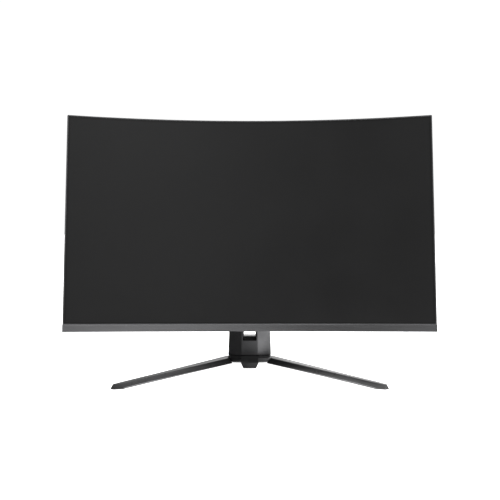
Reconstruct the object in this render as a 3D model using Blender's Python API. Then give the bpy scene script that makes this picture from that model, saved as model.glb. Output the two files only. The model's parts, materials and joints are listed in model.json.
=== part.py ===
"""Curved desktop monitor: a 1500R panel on a height and tilt adjustable column with a V-shaped base.

Metres, +Z up, +X to the viewer's right, the screen faces -Y. The origin is on the desk, under the
middle of the column. The head is modelled upright in its own frame, whose origin is the tilt
hinge, and is then leaned back with the tilt empty. The lift pieces share that origin, upright.
"""
import math

import bmesh
import bpy
from mathutils import Matrix, Vector

# Head
SCREEN_RADIUS = 1.5
HEAD_WIDTH = 0.7103
HEAD_HEIGHT = 0.4189
CHIN_HEIGHT = 0.0138
REST_TILT = math.radians(7.5)
GLASS_Y = -0.058                      # glass front, ahead of the hinge
HEAD_LOW = -0.205                     # lower edge of the head, below the hinge
HEAD_HIGH = HEAD_LOW + HEAD_HEIGHT
HEAD_HALF = HEAD_WIDTH / 2
RIM = 0.0022                          # visible frame line around the glass
GAP = 0.0003
ARC_SEGMENTS = 24

# Depths behind the glass front
GLASS_DEPTH = (0.0004, 0.0020)
DIFFUSER_DEPTH = (0.0023, 0.0033)
GUIDE_DEPTH = (0.0036, 0.0066)
REFLECTOR_DEPTH = (0.0069, 0.0074)
CHASSIS_DEPTH = (0.0080, 0.0090)
FRAME_DEPTH = (0.0, 0.0092)
COVER_FRONT = 0.0095
COVER_SIDE = 0.0160
COVER_BACK = 0.0205
WALL = 0.0022

# Rear cover bulge and its pockets, hinge at zero
BULGE_HALF = 0.205
BULGE_LOW = -0.150
BULGE_HIGH = 0.068
FOOT_HALF = 0.275
FOOT_LOW = -0.180
FOOT_HIGH = 0.125
BULGE_Y = -0.010
RECESS_HALF = 0.060
RECESS_LOW = -0.066
RECESS_Y = -0.020
BAY_INNER = 0.068
BAY_OUTER = 0.176
BAY_LOW = -0.160
BAY_HIGH = -0.095
BAY_Y = -0.036
VESA_HALF = 0.050
VENT_COUNT = 14
VENT_PITCH = 0.0088
VENT_START = 0.078
VENT_LOW = 0.084
VENT_HIGH = 0.108
VENT_HALF_WIDTH = 0.0013

# x range, height range and floor of each pocket in the bulge; one that passes the bulge's flat
# back, up or down, runs out through the slope there
POCKETS = (
    (-RECESS_HALF, RECESS_HALF, RECESS_LOW, 0.120, RECESS_Y),
    (BAY_INNER, BAY_OUTER, BAY_LOW, BAY_HIGH, BAY_Y),
    (-BAY_OUTER, -BAY_INNER, BAY_LOW, BAY_HIGH, BAY_Y),
)

# Connectors in the ceiling of the right bay: middle in x, half width, half depth; all share one y
PORTS = {
    "usb_port": (0.080, 0.0070, 0.0034),
    "hdmi_port_1": (0.101, 0.0077, 0.0030),
    "hdmi_port_2": (0.121, 0.0077, 0.0030),
    "display_port": (0.1425, 0.0087, 0.0031),
    "audio_jack": (0.162, 0.0040, 0.0040),
}
PORT_Y = -0.0268
INLET_X = -0.1180
INLET_Y = -0.0253
INLET_HALF = 0.0137
INLET_DEEP = 0.0100
INLET_SKIN = 0.0016
INLET_BLADES = ((-0.007, -0.002), (0.0, 0.002), (0.007, -0.002))

# Boards inside, and the box that shields them
BOARD_THICK = 0.0016
MAIN_BOARD_Y = -0.0335
POWER_BOARD_Y = -0.0400
TCON_BOARD_Y = -0.0475
SHIELD_FRONT = -0.0440
SHIELD_BACK = -0.0145
SHIELD_SKIN = 0.0010
RIBBON_HALF = 0.008
RIBBON_THICK = 0.0004
RIBBON_PATH = (
    (0.040, -0.0455, -0.1247), (0.044, -0.0455, -0.1150), (0.052, -0.0455, -0.0950),
    (0.052, -0.0455, -0.0800), (0.064, -0.0455, -0.0600), (0.082, -0.0455, -0.0500),
)

# Steel bracket behind the mounting pads
BRACKET_HALF = 0.064
BRACKET_Y = -0.0420
BRACKET_THICK = 0.0015
BOSS_RADIUS = 0.0042
TAPPED_RADIUS = 0.0018
SCREW_HOLE_RADIUS = 0.0022

# Joystick on the back, low on the viewer's right
JOYSTICK_X = 0.300
JOYSTICK_Z = -0.150
JOYSTICK_DEPTH = 0.0140
JOYSTICK_HOLE = 0.0052
JOYSTICK_STEM = 0.0015
# radius and distance from the pivot, up the outside of the cap and down into its hollow
JOYSTICK_CAP = ((0.0030, 0.0040), (0.0030, 0.0090), (0.0056, 0.0090), (0.0056, 0.0120),
                (0.0048, 0.0128), (0.0018, 0.0122), (0.0018, 0.0119))

# Tilt hinge and the plate that the head hangs from
PLATE_FRONT = RECESS_Y + GAP
PLATE_BACK = PLATE_FRONT + 0.0030
EAR_INNER = 0.0130
EAR_OUTER = 0.0185
EAR_RADIUS = 0.0078
SHAFT_RADIUS = 0.0040
SHAFT_HEAD = 0.0065
BUTTON_LOW = -0.0595
BUTTON_HALF = 0.012
BUTTON_HALF_HEIGHT = 0.0060
SPRING_WIRE = 0.00035
SPRING_RADIUS = 0.0016
SPRING_TURNS = 4
SPRING_LENGTH = 0.0045

# Stand
PIVOT_Y = -0.0477
PIVOT_Z = 0.2752
COLUMN_FRONT = -0.033
COLUMN_REAR = 0.029
COLUMN_SPLIT = 0.004
COLUMN_LOW = 0.0123
COLUMN_HIGH = 0.410
COLUMN_SKIN = 0.0025
FACET_HALF = 0.0173
HUB_TOP = 0.012
HUB_LOW = 0.0015
HUB_EDGE = 0.0045                     # where the hub's corners start to be cut back
SCREW_Y = 0.0215
CABLE_HALF = 0.0126
CABLE_LOW = 0.0454
CABLE_HIGH = 0.0918
LINER_WALL = 0.0017
LINER_ROOM = 0.0020
ARM_SLOT_HALF = 0.0116
ARM_SLOT_END = 0.0125
CHANNEL_TOP = 0.402
FACET_SLANT = math.radians(14.0)      # of the column's front flanks, away from the viewer

# Tongue of each leg in the hub
TONGUE_END = 0.0180
TONGUE_FRONT = -0.0500
TONGUE_REAR = -0.0380
TONGUE_LOW = 0.0048
TONGUE_TOP = 0.0092

# Cross-sections of the right leg from the hub to the tip: rear low, front low, top of the front's
# chamfer, front top, rear top
LEG_SECTIONS = (
    ((0.0372, -0.0320, 0.0015), (0.0358, -0.0616, 0.0015), (0.0380, -0.0634, 0.0042),
     (0.0446, -0.0614, 0.0120), (0.0457, -0.0295, 0.0120)),
    ((0.1831, -0.2170, 0.0008), (0.1817, -0.2333, 0.0008), (0.1808, -0.2345, 0.0040),
     (0.1808, -0.2341, 0.0122), (0.1831, -0.2177, 0.0122)),
    ((0.2220, -0.2665, 0.0006), (0.2199, -0.2795, 0.0006), (0.2193, -0.2808, 0.0036),
     (0.2193, -0.2815, 0.0118), (0.2220, -0.2669, 0.0118)),
    ((0.2442, -0.2810, 0.0006), (0.2362, -0.2842, 0.0006), (0.2358, -0.2852, 0.0020),
     (0.2347, -0.2880, 0.0104), (0.2386, -0.2830, 0.0104)),
)
LEG_PAD_CORNERS = ((0.2090, -0.2590), (0.2078, -0.2616), (0.2205, -0.2770), (0.2350, -0.2812),
                   (0.2370, -0.2796), (0.2225, -0.2700))
LEG_PAD_TOP = 0.0020

LIFT_TRAVEL = 0.100
CARRIAGE_LOW = 0.236
CARRIAGE_HIGH = 0.300
CARRIAGE_FRONT = -0.018
CARRIAGE_REAR = 0.0095
CARRIAGE_THICK = 0.005
CHEEK_OUT = 0.0205
CHEEK_IN = 0.0180
AXLE_RADIUS = 0.0018
KNUCKLE_RADIUS = 0.0080
HOOD_HALF = 0.0280
HOOD_RADIUS = 0.0118
HOOD_SKIN = 0.0016
DRUM_RADIUS = 0.0105
DRUM_Y = -0.0005
DRUM_Z = 0.262
STRIP_TOP = 0.398


def clear_scene():
    for item in list(bpy.data.objects):
        bpy.data.objects.remove(item, do_unlink=True)


def material(name, colour, roughness, metallic=0.0, alpha=1.0):
    made = bpy.data.materials.get(name)
    if made:
        return made
    made = bpy.data.materials.new(name)
    made.use_nodes = True
    shader = made.node_tree.nodes["Principled BSDF"]
    shader.inputs["Base Color"].default_value = (*colour, 1.0)
    shader.inputs["Roughness"].default_value = roughness
    shader.inputs["Metallic"].default_value = metallic
    shader.inputs["Alpha"].default_value = alpha
    made.diffuse_color = (*colour, alpha)
    return made


def black_plastic():
    return material("black_plastic", (0.022, 0.022, 0.024), 0.55)


def dark_metal():
    return material("dark_metal", (0.060, 0.060, 0.064), 0.38, 0.7)


def steel():
    return material("steel", (0.52, 0.53, 0.54), 0.35, 1.0)


def rubber():
    return material("rubber", (0.018, 0.018, 0.018), 0.9)


def circuit_board():
    return material("circuit_board", (0.02, 0.12, 0.06), 0.5)


def white_plastic():
    return material("white_plastic", (0.75, 0.76, 0.76), 0.5)


# ---- solids -------------------------------------------------------------------------------

def loft(rings):
    """A closed solid through rings of the same point count, with both ends filled."""
    solid = bmesh.new()
    rows = [[solid.verts.new(point) for point in ring] for ring in rings]
    count = len(rows[0])
    for lower, upper in zip(rows, rows[1:]):
        for i in range(count):
            j = (i + 1) % count
            solid.faces.new((lower[i], lower[j], upper[j], upper[i]))
    solid.faces.new(rows[0])
    solid.faces.new(rows[-1])
    bmesh.ops.recalc_face_normals(solid, faces=solid.faces)
    return solid


def ring_loop(rings):
    """A closed tube whose rings join the last to the first, such as a picture frame."""
    solid = bmesh.new()
    rows = [[solid.verts.new(point) for point in ring] for ring in rings]
    count = len(rows[0])
    for k, lower in enumerate(rows):
        upper = rows[(k + 1) % len(rows)]
        for i in range(count):
            j = (i + 1) % count
            solid.faces.new((lower[i], lower[j], upper[j], upper[i]))
    bmesh.ops.recalc_face_normals(solid, faces=solid.faces)
    return solid


def axis_point(axis, along, across, up):
    """across and up are the two other coordinates, in x, y, z order."""
    if axis == "x":
        return (along, across, up)
    if axis == "y":
        return (across, along, up)
    return (across, up, along)


def prism(outline, axis, low, high):
    return loft([[axis_point(axis, at, a, b) for a, b in outline] for at in (low, high)])


def box(x0, x1, y0, y1, z0, z1):
    return prism([(x0, y0), (x1, y0), (x1, y1), (x0, y1)], "z", z0, z1)


def circle(radius, centre=(0.0, 0.0), segments=20, start=0.0, sweep=math.tau):
    steps = segments if abs(sweep - math.tau) < 1e-6 else segments + 1
    return [
        (
            centre[0] + radius * math.cos(start + sweep * i / segments),
            centre[1] + radius * math.sin(start + sweep * i / segments),
        )
        for i in range(steps)
    ]


def rod(axis, radius, centre, low, high, segments=20):
    return prism(circle(radius, centre, segments), axis, low, high)


def washer(axis, inner, outer, centre, low, high, segments=24):
    rings = []
    for radius, at in ((outer, low), (outer, high), (inner, high), (inner, low)):
        points = circle(radius, centre, segments)
        rings.append([axis_point(axis, at, a, b) for a, b in points])
    return ring_loop(rings)


def rounded(half_a, half_b, radius, centre=(0.0, 0.0), steps=3):
    """Outline of a rectangle with round corners."""
    points = []
    for turn, (side_a, side_b) in enumerate(((1, 1), (-1, 1), (-1, -1), (1, -1))):
        corner = (
            centre[0] + side_a * (half_a - radius),
            centre[1] + side_b * (half_b - radius),
        )
        points += circle(radius, corner, steps, turn * math.pi / 2, math.pi / 2)
    return points


def arc_y(x, depth):
    """Depth behind the glass, measured along the radius of the curved screen."""
    radius = SCREEN_RADIUS + depth
    return GLASS_Y - SCREEN_RADIUS + math.sqrt(radius * radius - x * x)


def arc_sweep(outline, x0, x1, segments=ARC_SEGMENTS):
    """Sweep an outline of (depth, height) points along the curve of the screen."""
    rings = []
    for i in range(segments + 1):
        x = x0 + (x1 - x0) * i / segments
        rings.append([(x, arc_y(x, depth), z) for depth, z in outline])
    return loft(rings)


def arc_slab(depths, half, low, high):
    near, far = depths
    return arc_sweep([(near, low), (far, low), (far, high), (near, high)], -half, half)


def border_ring(half, low, high, place_y):
    """Points round a rectangle, with enough of them to follow the curve of the screen."""
    sides = 8
    ring = []
    for i in range(ARC_SEGMENTS):
        ring.append((-half + 2 * half * i / ARC_SEGMENTS, low))
    for i in range(sides):
        ring.append((half, low + (high - low) * i / sides))
    for i in range(ARC_SEGMENTS):
        ring.append((half - 2 * half * i / ARC_SEGMENTS, high))
    for i in range(sides):
        ring.append((-half, high - (high - low) * i / sides))
    return [(x, place_y(x), z) for x, z in ring]


def at_depth(depth):
    return lambda x: arc_y(x, depth)


def at_plane(y):
    return lambda x: y


# ---- objects ------------------------------------------------------------------------------

def empty(name, parent, location, rotation=(0.0, 0.0, 0.0)):
    made = bpy.data.objects.new(name, None)
    made.empty_display_size = 0.02
    made.parent = parent
    made.location = location
    made.rotation_euler = rotation
    bpy.context.collection.objects.link(made)
    return made


def add(name, solid, finish, parent=None, bevel=0.0):
    mesh = bpy.data.meshes.new(name)
    solid.to_mesh(mesh)
    solid.free()
    mesh.shade_smooth()
    mesh.set_sharp_from_angle(angle=math.radians(30))
    made = bpy.data.objects.new(name, mesh)
    made.data.materials.append(finish)
    made.parent = parent
    bpy.context.collection.objects.link(made)
    if bevel:
        edge = made.modifiers.new("edge", "BEVEL")
        edge.width = bevel
        edge.segments = 1
        edge.limit_method = "ANGLE"
        edge.angle_limit = math.radians(40)
    return made


def together(solids):
    """Several solids that don't touch, as one cutter."""
    joined = bmesh.new()
    for solid in solids:
        mesh = bpy.data.meshes.new("piece")
        solid.to_mesh(mesh)
        solid.free()
        joined.from_mesh(mesh)
        bpy.data.meshes.remove(mesh)
    return joined


def carve(target, solids, operation="DIFFERENCE"):
    """Cut the solids from the target, or join them to it, and keep only the result."""
    parent = target.parent
    target.parent = None
    for solid in solids:
        mesh = bpy.data.meshes.new("cutter")
        solid.to_mesh(mesh)
        solid.free()
        cutter = bpy.data.objects.new("cutter", mesh)
        cutter.hide_render = True
        bpy.context.collection.objects.link(cutter)
        change = target.modifiers.new("change", "BOOLEAN")
        change.object = cutter
        change.operation = operation
        change.solver = "EXACT"
        graph = bpy.context.evaluated_depsgraph_get()
        result = bpy.data.meshes.new_from_object(target.evaluated_get(graph))
        target.modifiers.clear()
        target.data = result
        bpy.data.objects.remove(cutter, do_unlink=True)
    target.parent = parent
    return target


# ---- head: the panel and its layers ---------------------------------------------------------

def panel_layers(head):
    inner_half = HEAD_HALF - RIM - GAP
    low = HEAD_LOW + CHIN_HEIGHT + 0.0008
    high = HEAD_HIGH - RIM - GAP
    frame_low = HEAD_LOW + 0.0112
    core_low = low + 0.0045
    glass = material("panel_glass", (0.012, 0.012, 0.013), 0.32)
    add("panel_glass", arc_slab(GLASS_DEPTH, inner_half, low, high), glass, head)
    sheets = arc_slab(DIFFUSER_DEPTH, inner_half, core_low, high)
    add("diffuser_sheets", sheets, white_plastic(), head)
    guide = material("light_guide", (0.8, 0.82, 0.84), 0.1, 0.0, 0.5)
    add("light_guide", arc_slab(GUIDE_DEPTH, inner_half, core_low, high), guide, head)
    mirror_film = arc_slab(REFLECTOR_DEPTH, inner_half, low, high)
    add("reflector_sheet", mirror_film, white_plastic(), head)
    bar = arc_slab(GUIDE_DEPTH, inner_half, low, core_low - GAP)
    add("led_bar", bar, white_plastic(), head)

    near, far = FRAME_DEPTH
    opening_low = low - GAP
    frame = ring_loop([
        border_ring(HEAD_HALF, frame_low, HEAD_HIGH, at_depth(near)),
        border_ring(HEAD_HALF, frame_low, HEAD_HIGH, at_depth(far)),
        border_ring(HEAD_HALF - RIM, opening_low, HEAD_HIGH - RIM, at_depth(far)),
        border_ring(HEAD_HALF - RIM, opening_low, HEAD_HIGH - RIM, at_depth(near)),
    ])
    add("mid_frame", frame, black_plastic(), head)
    plate = arc_slab(CHASSIS_DEPTH, inner_half, low, high)
    add("panel_chassis", plate, steel(), head)

    top = HEAD_LOW + CHIN_HEIGHT
    chin = arc_sweep(
        [
            (-0.0012, HEAD_LOW + 0.0010),
            (-0.0002, HEAD_LOW),
            (COVER_FRONT - GAP, HEAD_LOW),
            (COVER_FRONT - GAP, frame_low - GAP),
            (-GAP, frame_low - GAP),
            (-GAP, top),
            (-0.0009, top),
            (-0.0012, top - 0.0004),
        ],
        -HEAD_HALF,
        HEAD_HALF,
    )
    brushed = material("brushed_chin", (0.16, 0.16, 0.165), 0.42, 0.8)
    add("bottom_bezel", chin, brushed, head)


def light_pipe(head):
    x = 0.300
    clear = material("light_pipe", (0.8, 0.85, 0.9), 0.2)
    y = arc_y(x, 0.006)
    add("light_pipe", box(x - 0.004, x + 0.004, y - 0.001, y + 0.001,
                          HEAD_LOW - 0.0018, HEAD_LOW - GAP), clear, head)


# ---- head: the rear cover -------------------------------------------------------------------

def bulge_rings(inset):
    """Outer rings of the cover from the bulge's flat back out to its front rim."""
    edge = HEAD_HALF - 0.0006 - inset
    low = HEAD_LOW + 0.0004 + inset
    high = HEAD_HIGH - 0.0006 - inset
    return [
        border_ring(BULGE_HALF - inset * 0.4, BULGE_LOW + inset * 0.4,
                    BULGE_HIGH - inset * 0.4, at_plane(BULGE_Y - inset)),
        border_ring(FOOT_HALF, FOOT_LOW, FOOT_HIGH, at_depth(COVER_BACK + 0.0005 - inset)),
        border_ring(edge - 0.008, low + 0.006, high - 0.008, at_depth(COVER_BACK - inset)),
        border_ring(edge - 0.0008, low + 0.0008, high - 0.0008, at_depth(COVER_SIDE - inset)),
        border_ring(edge, low, high, at_depth(COVER_FRONT)),
    ]


def rear_cover(head):
    shell = loft(bulge_rings(0.0) + bulge_rings(WALL)[::-1])
    # the slopes are slightly twisted, so they are split into flat triangles before any cut
    bmesh.ops.triangulate(shell, faces=shell.faces)
    cover = add("rear_cover", shell, black_plastic(), head)
    carve(cover, [pocket_wall(*pocket) for pocket in POCKETS], "UNION")
    carve(cover, [pocket_space(*pocket) for pocket in POCKETS])
    corners = [(x, z) for x in (-VESA_HALF, VESA_HALF) for z in (-VESA_HALF, VESA_HALF)]
    carve(cover, [together([pad(x, z) for x, z in corners])], "UNION")
    carve(cover, [together([rod("y", SCREW_HOLE_RADIUS, corner, RECESS_Y - 0.01, 0.0, 12)
                            for corner in corners])])
    slots = []
    for side in (-1, 1):
        for i in range(VENT_COUNT):
            x = side * (VENT_START + i * VENT_PITCH)
            slots.append(box(x - VENT_HALF_WIDTH, x + VENT_HALF_WIDTH, -0.045, 0.0,
                             VENT_LOW, VENT_HIGH))
    carve(cover, [together(slots)])
    return cover


def slope_height(x, y, edge, foot):
    """Height at which a slope of the bulge, from its edge to its foot, passes a point in x and y."""
    share = 0.5
    for _ in range(20):
        along = abs(x) / (BULGE_HALF + (FOOT_HALF - BULGE_HALF) * share)
        foot_y = arc_y(FOOT_HALF * along, COVER_BACK + 0.0005)
        share = min(max((BULGE_Y - y) / (BULGE_Y - foot_y), 0.0), 1.0)
    return edge + (foot - edge) * share


def pocket_wall(x0, x1, z0, z1, floor):
    """The material round a pocket, which ends inside the wall of a slope that the pocket runs out of."""
    back = BULGE_Y - 0.0008
    inside = 0.0012
    deep = floor - WALL
    rings = []
    for x in (x0 - WALL, x1 + WALL):
        low = [z0 - WALL] * 2
        high = [z1 + WALL] * 2
        if z0 < BULGE_LOW:
            low = [slope_height(x, y, BULGE_LOW, FOOT_LOW) + inside for y in (deep, back)]
        if z1 > BULGE_HIGH:
            high = [slope_height(x, y, BULGE_HIGH, FOOT_HIGH) - inside for y in (deep, back)]
        rings.append([(x, deep, low[0]), (x, back, low[1]), (x, back, high[1]), (x, deep, high[0])])
    return loft(rings)


def pocket_space(x0, x1, z0, z1, floor):
    reach = 0.03
    low = z0 - (reach if z0 < BULGE_LOW else 0.0)
    high = z1 + (reach if z1 > BULGE_HIGH else 0.0)
    return box(x0, x1, floor, 0.02, low, high)


def pad(x, z):
    return prism(rounded(0.0062, 0.0062, 0.0015, (x, z)), "y", RECESS_Y - 0.001, RECESS_Y + 0.0008)


def rear_trim(head):
    outer = 0.100
    inner = RECESS_HALF + 0.0025
    low = -0.088
    outline = [
        (-outer, low + 0.012), (-outer + 0.012, low), (outer - 0.012, low), (outer, low + 0.012),
        (outer, BULGE_HIGH - 0.003), (inner, BULGE_HIGH - 0.003), (inner, RECESS_LOW - 0.003),
        (-inner, RECESS_LOW - 0.003), (-inner, BULGE_HIGH - 0.003), (-outer, BULGE_HIGH - 0.003),
    ]
    gloss = material("gloss_trim", (0.03, 0.03, 0.032), 0.15)
    add("rear_trim", prism(outline, "y", BULGE_Y + GAP, BULGE_Y + 0.0016), gloss, head)


# ---- head: what is inside -------------------------------------------------------------------

def mount_bracket(head):
    back = RECESS_Y - WALL - GAP
    plate = box(-BRACKET_HALF, BRACKET_HALF, BRACKET_Y, BRACKET_Y + BRACKET_THICK,
                -BRACKET_HALF, BRACKET_HALF)
    made = add("mount_bracket", plate, steel(), head)
    corners = [(x, z) for x in (-VESA_HALF, VESA_HALF) for z in (-VESA_HALF, VESA_HALF)]
    carve(made, [rod("y", BOSS_RADIUS, c, BRACKET_Y + 0.0005, back, 12) for c in corners], "UNION")
    carve(made, [rod("y", TAPPED_RADIUS, c, BRACKET_Y + 0.006, back + 0.01, 10) for c in corners])


def boards(head):
    low = BAY_HIGH + 0.003
    main = box(0.072, 0.196, MAIN_BOARD_Y, MAIN_BOARD_Y + BOARD_THICK, low, 0.030)
    add("main_board", main, circuit_board(), head)
    power = box(-0.196, -0.072, POWER_BOARD_Y, POWER_BOARD_Y + BOARD_THICK, low, 0.040)
    add("power_board", power, circuit_board(), head)
    wound = material("transformer", (0.45, 0.33, 0.10), 0.5)
    core = box(-0.165, -0.130, -0.0381, -0.0180, -0.030, 0.000)
    add("power_transformer", core, wound, head, bevel=0.002)
    tcon = box(-0.050, 0.050, TCON_BOARD_Y, TCON_BOARD_Y + 0.0015, -0.155, -0.125)
    add("tcon_board", tcon, circuit_board(), head)
    shield_low = BAY_HIGH + WALL + GAP
    outer = box(0.066, 0.202, SHIELD_FRONT, SHIELD_BACK, shield_low, 0.040)
    shield = add("board_shield", outer, steel(), head)
    carve(shield, [box(0.066 + SHIELD_SKIN, 0.202 - SHIELD_SKIN, -0.06, SHIELD_BACK - SHIELD_SKIN,
                       -0.2, 0.040 - SHIELD_SKIN)])
    half = Vector((RIBBON_HALF, 0.0, 0.0))
    thick = Vector((0.0, RIBBON_THICK, 0.0))
    rings = []
    for point in RIBBON_PATH:
        spot = Vector(point)
        rings.append([spot - half, spot + half, spot + half + thick, spot - half + thick])
    strip = material("ribbon", (0.7, 0.68, 0.6), 0.5)
    add("ribbon_cable", loft(rings), strip, head)


def ports(head, cover):
    low = BAY_HIGH - 0.0002
    high = BAY_HIGH + 0.0130
    slots = []
    for name, (x, half, deep) in PORTS.items():
        slots.append(box(x - half - GAP, x + half + GAP, PORT_Y - deep - GAP, PORT_Y + deep + GAP,
                         BAY_HIGH - 0.002, BAY_HIGH + WALL + 0.001))
        shell = add(name, box(x - half, x + half, PORT_Y - deep, PORT_Y + deep, low, high),
                    steel(), head)
        if name == "audio_jack":
            carve(shell, [rod("z", 0.00185, (x, PORT_Y), low - 0.001, low + 0.010, 16)])
            continue
        skin = 0.0006
        carve(shell, [box(x - half + skin, x + half - skin, PORT_Y - deep + skin,
                          PORT_Y + deep - skin, low - 0.001, low + 0.010)])
        tongue = box(x - half * 0.72, x + half * 0.72, PORT_Y - 0.0006, PORT_Y + 0.0006,
                     low + 0.0015, low + 0.0105)
        carve(shell, [tongue], "UNION")
    add_inlet(head, low)
    slots.append(box(INLET_X - INLET_HALF - GAP, INLET_X + INLET_HALF + GAP,
                     INLET_Y - INLET_DEEP - GAP, INLET_Y + INLET_DEEP + GAP,
                     BAY_HIGH - 0.002, BAY_HIGH + WALL + 0.001))
    carve(cover, [together(slots)])


def add_inlet(head, low):
    """The mains inlet, a cup with three blades, in the ceiling of the left bay."""
    cup = box(INLET_X - INLET_HALF, INLET_X + INLET_HALF, INLET_Y - INLET_DEEP,
              INLET_Y + INLET_DEEP, low, low + 0.019)
    inlet = add("power_inlet", cup, black_plastic(), head)
    half = INLET_HALF - INLET_SKIN
    deep = INLET_DEEP - INLET_SKIN
    carve(inlet, [box(INLET_X - half, INLET_X + half, INLET_Y - deep, INLET_Y + deep,
                      low - 0.001, low + 0.016)])
    for dx, dy in INLET_BLADES:
        x, y = INLET_X + dx, INLET_Y + dy
        blade = box(x - 0.001, x + 0.001, y - 0.002, y + 0.002, low + 0.004, low + 0.017)
        carve(inlet, [blade], "UNION")


# ---- head: joystick -------------------------------------------------------------------------

def joystick(head, cover):
    """A five-way stick in the back, low on the viewer's right; its +Y points out of the cover."""
    turn = math.asin(JOYSTICK_X / (SCREEN_RADIUS + JOYSTICK_DEPTH))
    place = (JOYSTICK_X, arc_y(JOYSTICK_X, JOYSTICK_DEPTH), JOYSTICK_Z)
    seat = empty("joystick_pivot", head, place, (0.0, 0.0, -turn))
    frame = Matrix.Translation(place) @ Matrix.Rotation(-turn, 4, "Z")
    add("joystick_base", box(-0.0050, 0.0050, -0.0042, -0.0022, -0.0050, 0.0050),
        black_plastic(), seat)
    add("joystick_gimbal", washer("y", 0.0026, 0.0038, (0, 0), -0.0008, 0.0008, 16), steel(), seat)
    stem = rod("y", JOYSTICK_STEM, (0, 0), -0.0009, 0.0080, 12)
    add("joystick_stem", stem, white_plastic(), seat)
    rings = [[(a, at, b) for a, b in circle(radius, segments=20)] for radius, at in JOYSTICK_CAP]
    cap = add("joystick_cap", loft(rings), black_plastic(), seat)
    carve(cap, [rod("y", 0.0018, (0, 0), 0.003, 0.0086, 12)])
    hole = rod("y", JOYSTICK_HOLE, (0, 0), -0.001, 0.012, 20)
    hole.transform(frame)
    carve(cover, [hole])


# ---- head: what joins it to the stand -------------------------------------------------------

def stand_plate(head, cover):
    plate = prism(rounded(0.041, 0.045, 0.006), "y", PLATE_FRONT, PLATE_BACK)
    add("stand_plate", plate, dark_metal(), head)
    base_y = PLATE_BACK + GAP
    bracket = add("tilt_bracket", box(-0.0210, 0.0210, base_y, base_y + 0.0022, -0.0090, 0.0090),
                  steel(), head)
    ear_outline = [(base_y + 0.001, -EAR_RADIUS)]
    ear_outline += circle(EAR_RADIUS, (0, 0), 12, -math.pi / 2, math.pi)
    ear_outline += [(base_y + 0.001, EAR_RADIUS)]
    carve(bracket, [together([prism(ear_outline, "x", low, high) for low, high in
                              ((-EAR_OUTER, -EAR_INNER), (EAR_INNER, EAR_OUTER))])], "UNION")
    carve(bracket, [rod("x", SHAFT_RADIUS + GAP, (0, 0), -0.03, 0.03, 24)])
    shaft = add("tilt_shaft", rod("x", SHAFT_RADIUS, (0, 0), -0.0215, 0.0252, 24), steel(), head)
    carve(shaft, [rod("x", SHAFT_HEAD, (0, 0), -0.0222, -EAR_OUTER - GAP, 24)], "UNION")
    for name, side in (("friction_washer_left", -1), ("friction_washer_right", 1)):
        low, high = sorted((side * 0.0115, side * (EAR_INNER - GAP)))
        add(name, washer("x", SHAFT_RADIUS + GAP, 0.0075, (0, 0), low, high), steel(), head)
    add("disc_spring", washer("x", SHAFT_RADIUS + GAP, 0.0074, (0, 0), EAR_OUTER + GAP, 0.0203),
        steel(), head)
    nut = add("tilt_nut", prism(circle(0.0072, segments=6), "x", 0.0206, 0.0243), steel(), head)
    carve(nut, [rod("x", SHAFT_RADIUS + GAP, (0, 0), 0.02, 0.03, 24)])

    outline = rounded(BUTTON_HALF, BUTTON_HALF_HEIGHT, 0.002, (0, BUTTON_LOW + BUTTON_HALF_HEIGHT))
    button = add("release_button", prism(outline, "y", PLATE_FRONT, RECESS_Y + 0.0062),
                 black_plastic(), head)
    carve(button, [box(-0.003, 0.003, RECESS_Y - 0.0085, RECESS_Y + 0.001, -0.0565, -0.0520)],
          "UNION")
    carve(cover, [box(-0.0036, 0.0036, RECESS_Y - 0.01, RECESS_Y + 0.01, -0.0605, -0.0510)])
    spring = coil(SPRING_RADIUS, SPRING_WIRE, SPRING_TURNS, SPRING_LENGTH,
                  (0.0, RECESS_Y - 0.0060, -0.0616))
    add("release_spring", spring, steel(), head)


def coil(radius, wire, turns, height, base):
    steps = 10 * turns
    sides = 5
    rings = []
    for i in range(steps + 1):
        angle = math.tau * turns * i / steps
        out = Vector((math.cos(angle), math.sin(angle), 0.0))
        centre = Vector(base) + out * radius + Vector((0, 0, height * i / steps))
        ring = []
        for k in range(sides):
            around = math.tau * k / sides
            ring.append(centre + out * wire * math.cos(around)
                        + Vector((0, 0, wire * math.sin(around))))
        rings.append(ring)
    return loft(rings)


# ---- lift: everything that rides up the column, hinge at zero ------------------------------

def hood(radius, start, rear):
    """Side outline of the arm's cover: level over the hinge, then sloping to the column."""
    slope = 0.0042
    upper = [(start, radius), (0.0040, radius), (rear, radius - slope)]
    return upper + [(y, -z) for y, z in reversed(upper)]


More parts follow.
